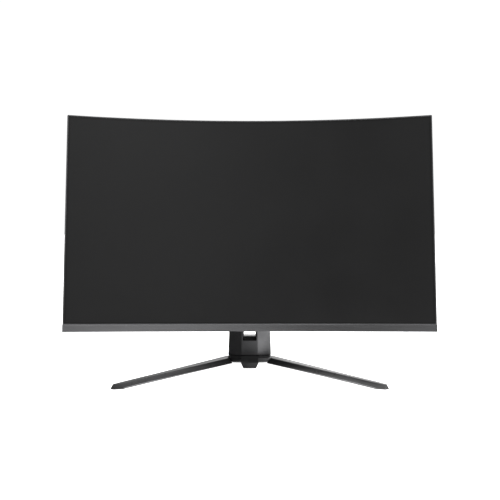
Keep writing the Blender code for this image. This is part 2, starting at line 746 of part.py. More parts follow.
def lift_pieces(lift):
    plate_y0 = CARRIAGE_FRONT - PIVOT_Y
    plate_y1 = plate_y0 + CARRIAGE_THICK
    back = CARRIAGE_REAR - PIVOT_Y
    low = CARRIAGE_LOW - PIVOT_Z
    high = CARRIAGE_HIGH - PIVOT_Z
    outline = [(-CHEEK_OUT, plate_y0), (CHEEK_OUT, plate_y0), (CHEEK_OUT, back),
               (CHEEK_IN, back), (CHEEK_IN, plate_y1), (-CHEEK_IN, plate_y1),
               (-CHEEK_IN, back), (-CHEEK_OUT, back)]
    axle_centre = (DRUM_Y - PIVOT_Y, DRUM_Z - PIVOT_Z)
    carriage = add("carriage", prism(outline, "z", low, high), steel(), lift)
    carve(carriage, [rod("x", AXLE_RADIUS + GAP, axle_centre, -0.03, 0.03, 16)])
    add("drum_axle", rod("x", AXLE_RADIUS, axle_centre, -0.0202, 0.0202, 16), steel(), lift)
    for name, side in (("glide_left", -1), ("glide_right", 1)):
        x0, x1 = sorted((side * (CHEEK_OUT + GAP), side * 0.0242))
        add(name, box(x0, x1, plate_y0 + 0.001, back - 0.002, low + 0.004, high - 0.004),
            white_plastic(), lift)

    knuckle = rod("x", KNUCKLE_RADIUS, (0, 0), -0.0110, 0.0110, 24)
    arm = add("lift_arm", knuckle, dark_metal(), lift)
    carve(arm, [box(-0.0105, 0.0105, 0.002, plate_y0 - GAP, -0.0072, 0.0072)], "UNION")
    flange = box(-0.0180, 0.0180, plate_y0 - 0.0065, plate_y0 - GAP, -0.0180, 0.0180)
    carve(arm, [flange], "UNION")
    carve(arm, [rod("x", SHAFT_RADIUS + GAP, (0, 0), -0.03, 0.03, 24)])

    rear = COLUMN_FRONT - PIVOT_Y - 0.0016
    outer = prism(hood(HOOD_RADIUS, -0.0030, rear), "x", -HOOD_HALF, HOOD_HALF)
    cover = add("arm_cover", outer, black_plastic(), lift)
    inside = hood(HOOD_RADIUS - HOOD_SKIN, -0.03, rear - HOOD_SKIN)
    carve(cover, [prism(inside, "x", -HOOD_HALF + HOOD_SKIN, HOOD_HALF - HOOD_SKIN)])
    carve(cover, [box(-0.0109, 0.0109, 0.0, 0.03, -0.0076, 0.0076)])

    axis = empty("drum_pivot", lift, (0.0, *axle_centre))
    drum = washer("x", 0.0022, DRUM_RADIUS, (0, 0), -0.0120, 0.0120, 24)
    add("spring_drum", drum, steel(), axis)


# ---- stand ---------------------------------------------------------------------------------

def column_half(z):
    return 0.0447 - 0.0382 * z


def column_outline(z, inset):
    """Right half of the column's cross-section at a height, from the front middle to the back."""
    half = column_half(z) - inset
    slant = math.tan(FACET_SLANT)
    facet = FACET_HALF - inset * math.tan(FACET_SLANT / 2)
    front = COLUMN_FRONT + inset
    return [(facet, front), (half, front + (half - facet) * slant),
            (half, 0.019 - inset * 0.4), (half - 0.010 + inset * 0.4, COLUMN_REAR - inset)]


def shell_section(z, front_half):
    outer = column_outline(z, 0.0)
    inner = column_outline(z, COLUMN_SKIN)
    if front_half:
        keep = [outer[0], outer[1], (outer[1][0], COLUMN_SPLIT - GAP)]
        back = [(inner[1][0], COLUMN_SPLIT - GAP), inner[1], inner[0]]
        right = keep + back
        left = [(-x, y) for x, y in reversed(right)]
        return right + left
    keep = [outer[3], outer[2], (outer[2][0], COLUMN_SPLIT)]
    back = [(inner[2][0], COLUMN_SPLIT), inner[2], inner[3]]
    right = keep + back
    left = [(-x, y) for x, y in reversed(right)]
    return right + left


def column(stand):
    half = CABLE_HALF + LINER_ROOM
    for name, front_half in (("column_front", True), ("column_rear", False)):
        rings = [[(x, y, z) for x, y in shell_section(z, front_half)]
                 for z in (COLUMN_LOW, COLUMN_HIGH)]
        skin = add(name, loft(rings), dark_metal(), stand)
        carve(skin, [box(-half, half, -0.06, 0.06, CABLE_LOW - LINER_ROOM, CABLE_HIGH + LINER_ROOM)])
        if front_half:
            carve(skin, [box(-ARM_SLOT_HALF, ARM_SLOT_HALF, -0.06, -0.02, PIVOT_Z - ARM_SLOT_END,
                             PIVOT_Z + LIFT_TRAVEL + ARM_SLOT_END)])
    top = column_outline(COLUMN_HIGH, 0.0)
    outline = top + [(-x, y) for x, y in reversed(top)]
    cap = prism(outline, "z", COLUMN_HIGH + GAP, COLUMN_HIGH + 0.0035)
    add("column_cap", cap, black_plastic(), stand, bevel=0.0008)

    middle = (CABLE_LOW + CABLE_HIGH) / 2
    half_height = (CABLE_HIGH - CABLE_LOW) / 2
    front, rear = COLUMN_FRONT - 0.0002, COLUMN_REAR + 0.0002
    rings = []
    for rim, radius, y in ((LINER_WALL, 0.0012, front), (LINER_WALL, 0.0012, rear),
                           (0.0, 0.0010, rear), (0.0, 0.0010, front)):
        outline = rounded(CABLE_HALF + rim, half_height + rim, radius, (0, middle))
        rings.append([(x, y, z) for x, z in outline])
    add("cable_hole_liner", ring_loop(rings), black_plastic(), stand)

    out, inside = 0.0262, 0.0245
    outline = [(-out, -0.012), (-inside, -0.012), (-inside, 0.0140), (inside, 0.0140),
               (inside, -0.012), (out, -0.012), (out, 0.0158), (-out, 0.0158)]
    channel = prism(outline, "z", HUB_TOP + 0.0015, CHANNEL_TOP)
    frame = add("column_frame", channel, steel(), stand)
    foot = box(-0.0260, 0.0260, -0.0225, 0.0262, HUB_TOP + GAP, HUB_TOP + 0.004)
    carve(frame, [foot], "UNION")
    carve(frame, [rod("z", 0.0033, (0, SCREW_Y), 0.0, HUB_TOP + 0.006, 16)])
    carve(frame, [box(-0.0152, 0.0152, 0.0, 0.03, CABLE_LOW - 0.0024, CABLE_HIGH + 0.0024)])
    clamp = box(-0.0150, 0.0150, 0.0092, 0.0145, STRIP_TOP + GAP, CHANNEL_TOP)
    carve(frame, [clamp], "UNION")
    strip_y = DRUM_Y + DRUM_RADIUS + 0.0006
    strip = box(-0.0110, 0.0110, strip_y, strip_y + 0.0005, DRUM_Z, STRIP_TOP)
    add("spring_strip", strip, steel(), stand)


def hub_ring(points, z):
    return [(x, y, z) for x, y in points] + [(-x, y, z) for x, y in reversed(points)]


def base_hub(stand):
    """The block under the column, with a toe towards the viewer; its corners are cut back below."""
    top = [(0.0176, -0.1085), (0.0176, -0.0625), (0.0437, -0.0600), (0.0443, -0.0300),
           (0.0443, 0.0230), (0.0340, 0.0400)]
    edge = [(0.0141, -0.1106), (0.0142, -0.0615), (0.0371, -0.0595), (0.0385, -0.0310),
            (0.0385, 0.0210), (0.0304, 0.0365)]
    low = [(0.0127, -0.1114), (0.0128, -0.0560), (0.0346, -0.0532), (0.0362, -0.0340),
           (0.0362, 0.0200), (0.0290, 0.0350)]
    rings = [hub_ring(low, HUB_LOW), hub_ring(edge, HUB_EDGE), hub_ring(top, HUB_TOP)]
    hub = add("base_hub", loft(rings), dark_metal(), stand)
    carve(hub, [
        rod("z", 0.0085, (0, SCREW_Y), 0.0, 0.0062, 20),
        rod("z", 0.0034, (0, SCREW_Y), 0.0, 0.02, 16),
        box(-0.0245, 0.0245, -0.0145, 0.0115, 0.0, HUB_LOW + 0.0008),
    ])
    foot = prism(rounded(0.024, 0.0125, 0.003, (0.0, -0.0015)), "z", 0.0, HUB_LOW + 0.0005)
    add("hub_foot", foot, rubber(), stand)
    turn = empty("base_screw_axis", stand, (0.0, SCREW_Y, 0.0))
    screw = add("base_screw", rod("z", 0.0078, (0, 0), 0.0012, 0.0058, 20), steel(), turn)
    carve(screw, [rod("z", 0.0030, (0, 0), 0.003, 0.0158, 16)], "UNION")
    carve(screw, [box(-0.0060, 0.0060, -0.0007, 0.0007, 0.0, 0.0024)])
    return hub


def leg(stand, side, name):
    """A leg from the hub's flank to its tip, flat on top, with a small chamfer under its front."""
    made = add(name, loft([[(side * x, y, z) for x, y, z in ring] for ring in LEG_SECTIONS]),
               dark_metal(), stand)
    spots = [Vector(spot) for spot in LEG_PAD_CORNERS]
    middle = sum(spots, Vector((0.0, 0.0))) / len(spots)
    pocket = [middle + (spot - middle) * 1.06 for spot in spots]
    carve(made, [prism([(side * x, y) for x, y in pocket], "z", 0.0, LEG_PAD_TOP + GAP)])
    add(name + "_pad", prism([(side * x, y) for x, y in spots], "z", 0.0, LEG_PAD_TOP), rubber(),
        stand)
    return made


def leg_joint(stand, hub, made, side, name):
    """A tongue of the leg sits in a pocket of the hub, held by a screw from below."""
    def block(start, end, grow):
        x0, x1 = sorted((side * (start - grow), side * end))
        y0, y1, z0, z1 = TONGUE_FRONT, TONGUE_REAR, TONGUE_LOW, TONGUE_TOP
        return box(x0, x1, y0 - grow, y1 + grow, z0 - grow, z1 + grow)

    carve(hub, [block(TONGUE_END, 0.060, 0.0004)])
    carve(made, [block(TONGUE_END, 0.0440, 0.0)], "UNION")
    centre = (side * 0.0260, (TONGUE_FRONT + TONGUE_REAR) / 2)
    carve(hub, [rod("z", 0.0038, centre, 0.0, 0.0034, 16), rod("z", 0.0018, centre, 0.0, 0.0052, 12)])
    carve(made, [rod("z", 0.0018, centre, 0.004, 0.0075, 12)])
    screw = add(name, rod("z", 0.0034, centre, 0.0017, 0.0031, 16), steel(), stand)
    carve(screw, [rod("z", 0.0015, centre, 0.0025, 0.0070, 12)], "UNION")
    carve(screw, [prism(circle(0.0013, centre, 6), "z", 0.001, 0.0024)])


# ---- build ---------------------------------------------------------------------------------

def build():
    clear_scene()
    stand = empty("stand", None, (0.0, 0.0, 0.0))
    lift = empty("lift_guide", stand, (0.0, PIVOT_Y, PIVOT_Z))
    head = empty("tilt_axis", lift, (0.0, 0.0, 0.0), (-REST_TILT, 0.0, 0.0))

    panel_layers(head)
    light_pipe(head)
    cover = rear_cover(head)
    rear_trim(head)
    mount_bracket(head)
    boards(head)
    ports(head, cover)
    joystick(head, cover)
    stand_plate(head, cover)
    lift_pieces(lift)
    column(stand)
    hub = base_hub(stand)
    for side, name in ((-1, "left_leg"), (1, "right_leg")):
        made = leg(stand, side, name)
        leg_joint(stand, hub, made, side, name + "_screw")


build()
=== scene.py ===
"""Looks of the curved desktop monitor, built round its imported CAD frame.

The screen, its frame line, the chin, the whole rear casing and the column are modelled again here
with fine curves. The other CAD pieces stay and get softened edges. Every piece gets a procedural
material. Head pieces are modelled upright in the head's own frame, whose origin is the tilt hinge.
"""

import json
import math

import bmesh
import bpy
from mathutils import Matrix, Vector


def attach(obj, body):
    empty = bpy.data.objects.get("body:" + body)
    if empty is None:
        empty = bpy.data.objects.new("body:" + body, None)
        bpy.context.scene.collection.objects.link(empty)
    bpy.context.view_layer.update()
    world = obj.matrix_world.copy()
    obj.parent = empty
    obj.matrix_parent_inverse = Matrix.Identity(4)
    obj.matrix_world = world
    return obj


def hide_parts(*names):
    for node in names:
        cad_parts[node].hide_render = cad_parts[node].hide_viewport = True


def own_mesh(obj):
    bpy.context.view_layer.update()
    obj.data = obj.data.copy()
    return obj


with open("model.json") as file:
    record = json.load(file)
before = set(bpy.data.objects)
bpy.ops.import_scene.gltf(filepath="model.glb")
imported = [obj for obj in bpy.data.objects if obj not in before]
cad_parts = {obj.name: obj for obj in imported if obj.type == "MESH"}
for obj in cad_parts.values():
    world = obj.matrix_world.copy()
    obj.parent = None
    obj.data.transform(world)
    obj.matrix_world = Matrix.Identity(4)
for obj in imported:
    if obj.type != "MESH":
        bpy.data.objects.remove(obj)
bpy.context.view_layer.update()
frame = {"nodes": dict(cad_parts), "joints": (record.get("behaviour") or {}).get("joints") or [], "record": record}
RECORD = frame["record"]
JOINTS = {joint["name"]: joint for joint in frame["joints"]}
MOUNTS = {mount["name"]: mount for mount in RECORD["mounts"]}

# ---- the head's own frame ------------------------------------------------------------------

BACKWARD = Vector(MOUNTS["vesa_face"]["axis"])
REST_TILT = math.atan2(-BACKWARD.z, BACKWARD.y)
HEAD = Matrix.Translation(JOINTS["tilt"]["pos_m"]) @ Matrix.Rotation(-REST_TILT, 4, "X")
HEAD_INVERSE = HEAD.inverted()


def cad_corners(node, to_frame=Matrix()):
    """Lowest and highest corner of a CAD node at rest, as seen in another frame."""
    points = [to_frame @ vertex.co for vertex in frame["nodes"][node].data.vertices]
    low = Vector([min(p[i] for p in points) for i in range(3)])
    high = Vector([max(p[i] for p in points) for i in range(3)])
    return low, high


def head_box(node):
    """Lowest and highest corner of a CAD node in the head's own frame."""
    return cad_corners(node, HEAD_INVERSE)


OUTWARD = -Vector(JOINTS["joystick_press"]["axis"])
JOYSTICK = (Matrix.Translation(JOINTS["joystick_up_down"]["pos_m"])
            @ OUTWARD.to_track_quat("Z", "Y").to_matrix().to_4x4())
SCREEN_RADIUS = 1.5
RIM_LOW, RIM_HIGH = head_box("mid_frame")
CHIN_LOW, CHIN_HIGH = head_box("bottom_bezel")
PANEL_LOW, PANEL_HIGH = head_box("panel_glass")
COVER_LOW, COVER_HIGH = head_box("rear_cover")
MORE_BELOW = 0.0013                   # the photo's head ends this far outside the CAD's
MORE_ABOVE = 0.0009
MORE_ASIDE = 0.0004
for corner in (CHIN_LOW, COVER_LOW):
    corner.z -= MORE_BELOW
for corner in (RIM_HIGH, PANEL_HIGH, COVER_HIGH):
    corner.z += MORE_ABOVE
    corner.x += MORE_ASIDE
HALF_WIDTH = RIM_HIGH.x
HEAD_LOW = CHIN_LOW.z
CHIN_TOP = CHIN_HIGH.z - 0.0011
PANEL_GAP = 0.0003                    # between the film and the frame line
RIM = HALF_WIDTH - PANEL_HIGH.x - PANEL_GAP
GLASS_FRONT, GLASS_BACK = 0.0004, 0.0020      # depths behind the front of the frame line
GLASS_Y = PANEL_HIGH.y - GLASS_BACK
FINE = 96                             # steps along the curve of the screen


def arc_y(x, depth):
    """Depth behind the screen's front, measured along the radius of its curve."""
    radius = SCREEN_RADIUS + depth
    return GLASS_Y - SCREEN_RADIUS + math.sqrt(radius * radius - x * x)


# ---- mesh helpers --------------------------------------------------------------------------

def loft(rings, closed=False):
    """A solid through rings of equal point count, capped at both ends or joined end to start."""
    solid = bmesh.new()
    rows = [[solid.verts.new(point) for point in ring] for ring in rings]
    count = len(rows[0])
    pairs = list(zip(rows, rows[1:]))
    if closed:
        pairs.append((rows[-1], rows[0]))
    for lower, upper in pairs:
        for i in range(count):
            j = (i + 1) % count
            solid.faces.new((lower[i], lower[j], upper[j], upper[i]))
    if not closed:
        solid.faces.new(rows[0])
        solid.faces.new(rows[-1])
    bmesh.ops.recalc_face_normals(solid, faces=solid.faces)
    return solid


def rounded(before, here, after, size, limit, steps):
    """Points of a curve that cuts the corner here, of a size limited by its two sides."""
    enter = here + (before - here).normalized() * min(size, (before - here).length * limit)
    leave = here + (after - here).normalized() * min(size, (after - here).length * limit)
    shares = [k / steps for k in range(steps + 1)]
    return [enter * (1 - t) ** 2 + here * (2 * t * (1 - t)) + leave * t ** 2 for t in shares]


def fillet(corners, radius, steps=4):
    """Outline of (a, b) corners with each rounded; a corner may carry its own radius."""
    outline = []
    count = len(corners)
    for i, corner in enumerate(corners):
        before, here, after = (Vector(c[:2]) for c in
                               (corners[i - 1], corner, corners[(i + 1) % count]))
        size = corner[2] if len(corner) > 2 else radius
        if size > 0.0:
            outline += [tuple(p) for p in rounded(before, here, after, size, 0.49, steps)]
        else:
            outline.append(tuple(here))
    return outline


def extrude(outline, axis, low, high):
    """A prism of an outline whose (a, b) are the other two axes in x, y, z order."""
    def place(a, b, at):
        return {"x": (at, a, b), "y": (a, at, b), "z": (a, b, at)}[axis]
    return loft([[place(a, b, at) for a, b in outline] for at in (low, high)])


def box_outline(a0, a1, b0, b1):
    """Corners of a rectangle."""
    return [(a0, b0), (a1, b0), (a1, b1), (a0, b1)]


def together(solids):
    """Several solids that don't touch, as one cutter."""
    joined = bmesh.new()
    for solid in solids:
        mesh = mesh_of(solid, "piece")
        joined.from_mesh(mesh)
        bpy.data.meshes.remove(mesh)
    return joined


def carve(target, solid, operation="DIFFERENCE"):
    """Cut a solid from the target, or join it, and keep only the result."""
    cutter = add("cutter", mesh_of(solid, "cutter"))
    change = target.modifiers.new("change", "BOOLEAN")
    change.object = cutter
    change.operation = operation
    change.solver = "EXACT"
    graph = bpy.context.evaluated_depsgraph_get()
    result = bpy.data.meshes.new_from_object(target.evaluated_get(graph))
    target.modifiers.clear()
    target.data = result
    bpy.data.objects.remove(cutter, do_unlink=True)


def add(name, data):
    """A new object in the scene."""
    made = bpy.data.objects.new(name, data)
    bpy.context.scene.collection.objects.link(made)
    return made


def mesh_of(solid, name):
    mesh = bpy.data.meshes.new(name)
    solid.to_mesh(mesh)
    solid.free()
    return mesh


def make(name, solid, finish):
    """An object from a solid, with its finish."""
    made = add(name, mesh_of(solid, name))
    made.data.materials.append(finish)
    return made


def soften(piece, width, segments=3, angle=30.0):
    """Round the edges of a piece with a Bevel whose flats stay flat."""
    edge = piece.modifiers.new("soft_edges", "BEVEL")
    edge.width = width
    edge.segments = segments
    edge.limit_method = "ANGLE"
    edge.angle_limit = math.radians(angle)
    edge.use_clamp_overlap = True
    edge.harden_normals = True
    piece.data.shade_smooth()
    return piece


def shade(piece, angle=28.0):
    """Smooth shading that keeps creases above an angle sharp and flat faces flat."""
    piece.data.shade_smooth()
    piece.data.set_sharp_from_angle(angle=math.radians(angle))
    weight = piece.modifiers.new("flat_faces", "WEIGHTED_NORMAL")
    weight.keep_sharp = True
    return piece


def place(piece, body, slot, nodes=(), matrix=None):
    """Put a piece on its body, in place of the CAD nodes that it stands for."""
    if matrix is not None:
        piece.matrix_world = matrix
    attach(piece, body)
    if nodes:
        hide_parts(*nodes)
    return piece


# ---- material helpers ----------------------------------------------------------------------

class Shader:
    """A Principled material and short calls for the nodes that drive it."""

    def __init__(self, name, colour, roughness, metallic=0.0, specular=0.5):
        self.material = bpy.data.materials.new(name)
        self.material.use_nodes = True
        self.nodes = self.material.node_tree.nodes
        self.links = self.material.node_tree.links
        self.surface = self.nodes["Principled BSDF"]
        self.set("Base Color", (*colour, 1.0))
        self.set("Roughness", roughness)
        self.set("Metallic", metallic)
        self.set("Specular IOR Level", specular)
        self.coordinates = self.nodes.new("ShaderNodeTexCoord").outputs["Object"]

    def set(self, name, value):
        self.surface.inputs[name].default_value = value

    def join(self, output, node_input):
        self.links.new(output, node_input)

    def drive(self, name, output):
        self.join(output, self.surface.inputs[name])

    def stretched(self, scale, turn=(0.0, 0.0, 0.0)):
        """The object's coordinates, scaled and turned."""
        mapping = self.nodes.new("ShaderNodeMapping")
        mapping.inputs["Scale"].default_value = scale
        mapping.inputs["Rotation"].default_value = turn
        self.join(self.coordinates, mapping.inputs["Vector"])
        return mapping.outputs["Vector"]

    def noise(self, scale, detail=3.0, vector=None, rough=0.5):
        node = self.nodes.new("ShaderNodeTexNoise")
        node.inputs["Scale"].default_value = scale
        node.inputs["Detail"].default_value = detail
        node.inputs["Roughness"].default_value = rough
        self.join(vector or self.coordinates, node.inputs["Vector"])
        return node.outputs["Fac"]

    def cells(self, scale, vector=None):
        node = self.nodes.new("ShaderNodeTexVoronoi")
        node.feature = "SMOOTH_F1"
        node.inputs["Scale"].default_value = scale
        self.join(vector or self.coordinates, node.inputs["Vector"])
        return node.outputs["Distance"]

    def span(self, value, low, high, start=0.0, end=1.0, smooth=False):
        """A value that runs from start to end, mapped to low to high and kept between them."""
        node = self.nodes.new("ShaderNodeMapRange")
        node.interpolation_type = "SMOOTHSTEP" if smooth else "LINEAR"
        node.inputs["From Min"].default_value = start
        node.inputs["From Max"].default_value = end
        node.inputs["To Min"].default_value = low
        node.inputs["To Max"].default_value = high
        self.join(value, node.inputs["Value"])
        return node.outputs["Result"]

    def maths(self, operation, first, second=None):
        node = self.nodes.new("ShaderNodeMath")
        node.operation = operation
        for i, value in enumerate((first, second)):
            if isinstance(value, (int, float)):
                node.inputs[i].default_value = value
            elif value is not None:
                self.join(value, node.inputs[i])
        return node.outputs[0]

    def axis(self, letter):
        node = self.nodes.new("ShaderNodeSeparateXYZ")
        self.join(self.coordinates, node.inputs[0])
        return node.outputs[letter]

    def blend(self, share, first, second):
        """The first colour at share 0, the second at share 1."""
        node = self.nodes.new("ShaderNodeMix")
        node.data_type = "RGBA"
        for value, slot in ((first, node.inputs["A"]), (second, node.inputs["B"])):
            if isinstance(value, tuple):
                slot.default_value = (*value, 1.0)
            else:
                self.join(value, slot)
        self.join(share, node.inputs["Factor"])
        return node.outputs["Result"]

    def aside(self):
        """Distance to either side of the middle."""
        return self.maths("ABSOLUTE", self.axis("X"))

    def facing(self, letter):
        """How far the face itself looks along an axis."""
        node = self.nodes.new("ShaderNodeSeparateXYZ")
        self.join(self.nodes.new("ShaderNodeNewGeometry").outputs["True Normal"], node.inputs[0])
        return node.outputs[letter]

    def tint(self, share, colour):
        """Blend the base colour made so far towards another."""
        so_far = self.surface.inputs["Base Color"].links[0].from_socket
        self.drive("Base Color", self.blend(share, so_far, colour))

    def round_cut_edges(self, radius):
        """Normals that look as if sharp edges were rounded."""
        bevel = self.nodes.new("ShaderNodeBevel")
        bevel.samples = 4
        bevel.inputs["Radius"].default_value = radius
        return bevel.outputs[0]

    def edges(self, radius):
        """1 on worn outer edges, 0 on flats."""
        rounded = self.round_cut_edges(radius)
        geometry = self.nodes.new("ShaderNodeNewGeometry")
        dot = self.nodes.new("ShaderNodeVectorMath")
        dot.operation = "DOT_PRODUCT"
        self.join(rounded, dot.inputs[0])
        self.join(geometry.outputs["Normal"], dot.inputs[1])
        return self.span(dot.outputs["Value"], 1.0, 0.0, 0.80, 0.98)

    def bump(self, height, strength, distance, under=None):
        node = self.nodes.new("ShaderNodeBump")
        node.inputs["Strength"].default_value = strength
        node.inputs["Distance"].default_value = distance
        self.join(height, node.inputs["Height"])
        if under is not None:
            self.join(under, node.inputs["Normal"])
        return node.outputs["Normal"]


# ---- materials -----------------------------------------------------------------------------

def anti_glare_film():
    """Matt film over the switched-off panel, with the dark unlit border round its picture area."""
    made = Shader("anti_glare_film", (0.0045, 0.0045, 0.0047), 0.30, 0.0, 0.22)
    border = 0.0036
    height = made.axis("Z")
    outside = made.maths("GREATER_THAN", made.aside(), PANEL_HIGH.x - border)
    above = made.maths("GREATER_THAN", height, PANEL_HIGH.z - border)
    below = made.maths("LESS_THAN", height, PANEL_LOW.z + border * 0.7)
    mask = made.maths("MAXIMUM", made.maths("MAXIMUM", outside, above), below)
    cloud = made.span(made.noise(6.0, 2.0), 0.0, 1.0, 0.3, 0.7)
    picture = made.blend(cloud, (0.0046, 0.0046, 0.0048), (0.0056, 0.0056, 0.0058))
    made.drive("Base Color", made.blend(mask, picture, (0.0022, 0.0022, 0.0023)))
    made.drive("Roughness", made.span(made.noise(11.0, 2.0), 0.28, 0.32, 0.3, 0.7))
    grain = made.noise(5200.0, 2.0)
    made.drive("Normal", made.bump(grain, 0.10, 0.00004))
    return made.material


def brushed_chin():
    """Metal brushed along its length: reflections stay sharp sideways and smear up and down."""
    made = Shader("brushed_chin", (0.12, 0.12, 0.123), 0.24, 1.0)
    tangent = made.nodes.new("ShaderNodeTangent")
    tangent.direction_type = "RADIAL"
    tangent.axis = "Z"
    made.drive("Tangent", tangent.outputs[0])
    made.set("Anisotropic", 0.9)
    streaks = made.noise(1.0, 5.0, made.stretched((5.0, 60.0, 1500.0)), 0.65)
    long_streaks = made.noise(1.0, 3.0, made.stretched((1.6, 40.0, 420.0)))
    tone = made.maths("ADD", made.span(streaks, 0.0, 0.6), made.span(long_streaks, 0.0, 0.4))
    colour = made.blend(made.span(tone, 0.0, 1.0, 0.35, 0.65),
                        (0.112, 0.112, 0.115), (0.156, 0.156, 0.160))
    made.drive("Base Color", colour)
    made.drive("Roughness", made.span(streaks, 0.13, 0.19, 0.3, 0.7))
    made.drive("Normal", made.bump(streaks, 0.16, 0.00006, made.round_cut_edges(0.0002)))
    return made.material


def moulded_plastic(name, dark, light, grain_scale=2300.0, rough=0.58, depth=0.00006):
    """Spark-eroded texture of moulded casings, a little polished on its edges."""
    made = Shader(name, dark, rough)
    grain = made.cells(grain_scale)
    fine = made.noise(grain_scale * 1.9, 2.0)
    cloud = made.span(made.noise(9.0, 3.0), 0.0, 1.0, 0.35, 0.65)
    worn = made.edges(0.0005)
    colour = made.blend(cloud, dark, light)
    made.drive("Base Color", made.blend(made.maths("MULTIPLY", worn, 0.35), colour,
                                        tuple(min(1.0, c * 2.2) for c in light)))
    texture = made.maths("ADD", grain, made.maths("MULTIPLY", fine, 0.5))
    gloss = made.span(made.noise(24.0, 3.0), rough - 0.05, rough + 0.05, 0.3, 0.7)
    made.drive("Roughness", made.maths("SUBTRACT", gloss, made.maths("MULTIPLY", worn, 0.16)))
    made.drive("Normal", made.bump(texture, 0.35, depth, made.round_cut_edges(0.00035)))
    return made.material


def powder_coat(name, dark, light, rough, metallic, flake=0.0):
    """Satin coat over die-cast metal: orange peel, faint flake and brighter edges."""
    made = Shader(name, dark, rough, metallic)
    peel = made.noise(900.0, 2.0)
    cloud = made.span(made.noise(14.0, 3.0), 0.0, 1.0, 0.35, 0.65)
    sparkle = made.span(made.noise(6500.0, 1.0), 0.0, flake, 0.55, 0.75)
    worn = made.edges(0.0006)
    share = made.maths("MINIMUM", made.maths("ADD", cloud, sparkle), 1.0)
    colour = made.blend(share, dark, light)
    edge = tuple(min(1.0, c * 2.4) for c in light)
    made.drive("Base Color", made.blend(made.maths("MULTIPLY", worn, 0.5), colour, edge))
    satin = made.span(made.noise(40.0, 3.0), rough - 0.04, rough + 0.05, 0.3, 0.7)
    made.drive("Roughness", made.maths("SUBTRACT", satin, made.maths("MULTIPLY", worn, 0.10)))
    made.drive("Normal", made.bump(peel, 0.12, 0.00005, made.round_cut_edges(0.0003)))
    return made


def leg_coat():
    """Satin coat with painted light: darker near the hub and lighter towards the tips, and a painted highlight
    along the legs' lower, downward-slanted edges.
    """
    made = powder_coat("leg_coat", (0.014, 0.014, 0.0145), (0.020, 0.020, 0.0205), 0.30, 0.0, 0.3)
    # painted shade: the coat darkens towards the hub, where head and column shade the legs, and lightens towards
    # the tips
    made.tint(made.span(made.aside(), 0.0, 1.0, 0.07, 0.19, True), (0.044, 0.044, 0.045))
    up = made.facing("Z")
    # painted highlight: faces slanting down, short of the tip ends, are painted much lighter, standing in for
    # light from the floor below
    painted_highlight_slant = made.maths("MULTIPLY", made.span(up, 0.0, 1.0, -0.10, -0.25),
                              made.span(up, 0.0, 1.0, -0.95, -0.80))
    before_tip = made.span(made.aside(), 0.0, 1.0, 0.221, 0.217)
    made.tint(made.maths("MULTIPLY", painted_highlight_slant, before_tip), (0.26, 0.26, 0.265))
    made.drive("Specular IOR Level", made.span(up, 0.16, 0.72, 0.75, 0.95))
    return made.material


def rubber_material():
    """Matt rubber of the feet, with a little dust in its pores."""
    made = Shader("rubber", (0.016, 0.016, 0.016), 0.88, 0.0, 0.3)
    dust = made.span(made.noise(60.0, 4.0), 0.0, 1.0, 0.45, 0.75)
    made.drive("Base Color", made.blend(dust, (0.014, 0.014, 0.014), (0.034, 0.033, 0.032)))
    made.drive("Normal", made.bump(made.cells(1400.0), 0.3, 0.00006))
    return made.material


def plated_steel(name="plated_steel", tone=0.50):
    """Plated or blackened sheet steel with drawing marks and faint stains."""
    made = Shader(name, (tone, tone, tone), 0.34, 1.0)
    streaks = made.noise(1.0, 4.0, made.stretched((90.0, 90.0, 1400.0)))
    stain = made.span(made.noise(35.0, 4.0), 0.0, 1.0, 0.4, 0.7)
    light = (tone, tone, tone * 1.02)
    made.drive("Base Color", made.blend(stain, light, (tone * 0.72, tone * 0.70, tone * 0.66)))
    made.drive("Roughness", made.span(streaks, 0.26, 0.46, 0.3, 0.7))
    made.drive("Normal", made.bump(streaks, 0.12, 0.00005, made.round_cut_edges(0.00015)))
    return made.material


def gloss_trim():
    """Gloss accent with fine slanted lines moulded into it."""
    made = Shader("gloss_trim", (0.012, 0.012, 0.013), 0.16)
    slanted = made.stretched((1.0, 1.0, 1.0), (0.0, math.radians(38.0), 0.0))
    wave = made.nodes.new("ShaderNodeTexWave")
    wave.wave_type = "BANDS"
    wave.bands_direction = "X"
    wave.inputs["Scale"].default_value = 130.0
    made.join(slanted, wave.inputs["Vector"])
    lines = wave.outputs["Fac"]
    made.drive("Base Color", made.blend(lines, (0.010, 0.010, 0.011), (0.022, 0.022, 0.024)))
    made.drive("Roughness", made.span(lines, 0.12, 0.30))
    made.drive("Normal", made.bump(lines, 0.5, 0.00012, made.round_cut_edges(0.0003)))
    return made.material


def circuit_material():
    """Green solder mask with the tracks showing through."""
    made = Shader("circuit_board", (0.01, 0.08, 0.04), 0.42)
    tracks = made.noise(260.0, 1.0, made.stretched((1.0, 1.0, 3.0)))
    lines = made.span(tracks, 0.0, 1.0, 0.49, 0.52)
    made.drive("Base Color", made.blend(lines, (0.008, 0.070, 0.034), (0.020, 0.135, 0.060)))
    made.drive("Normal", made.bump(lines, 0.3, 0.00004))
    return made.material


def simple_finish(name, dark, light, rough, scale, transmission=0.0):
    """A cloudy two-tone finish for the small parts inside."""
    made = Shader(name, dark, rough)
    cloud = made.span(made.noise(scale, 3.0), 0.0, 1.0, 0.35, 0.65)
    made.drive("Base Color", made.blend(cloud, dark, light))
    made.drive("Roughness", made.span(cloud, rough - 0.05, rough + 0.05))
    made.drive("Normal", made.bump(made.noise(scale * 20.0, 2.0), 0.1, 0.00004))
    made.set("Transmission Weight", transmission)
    return made.material


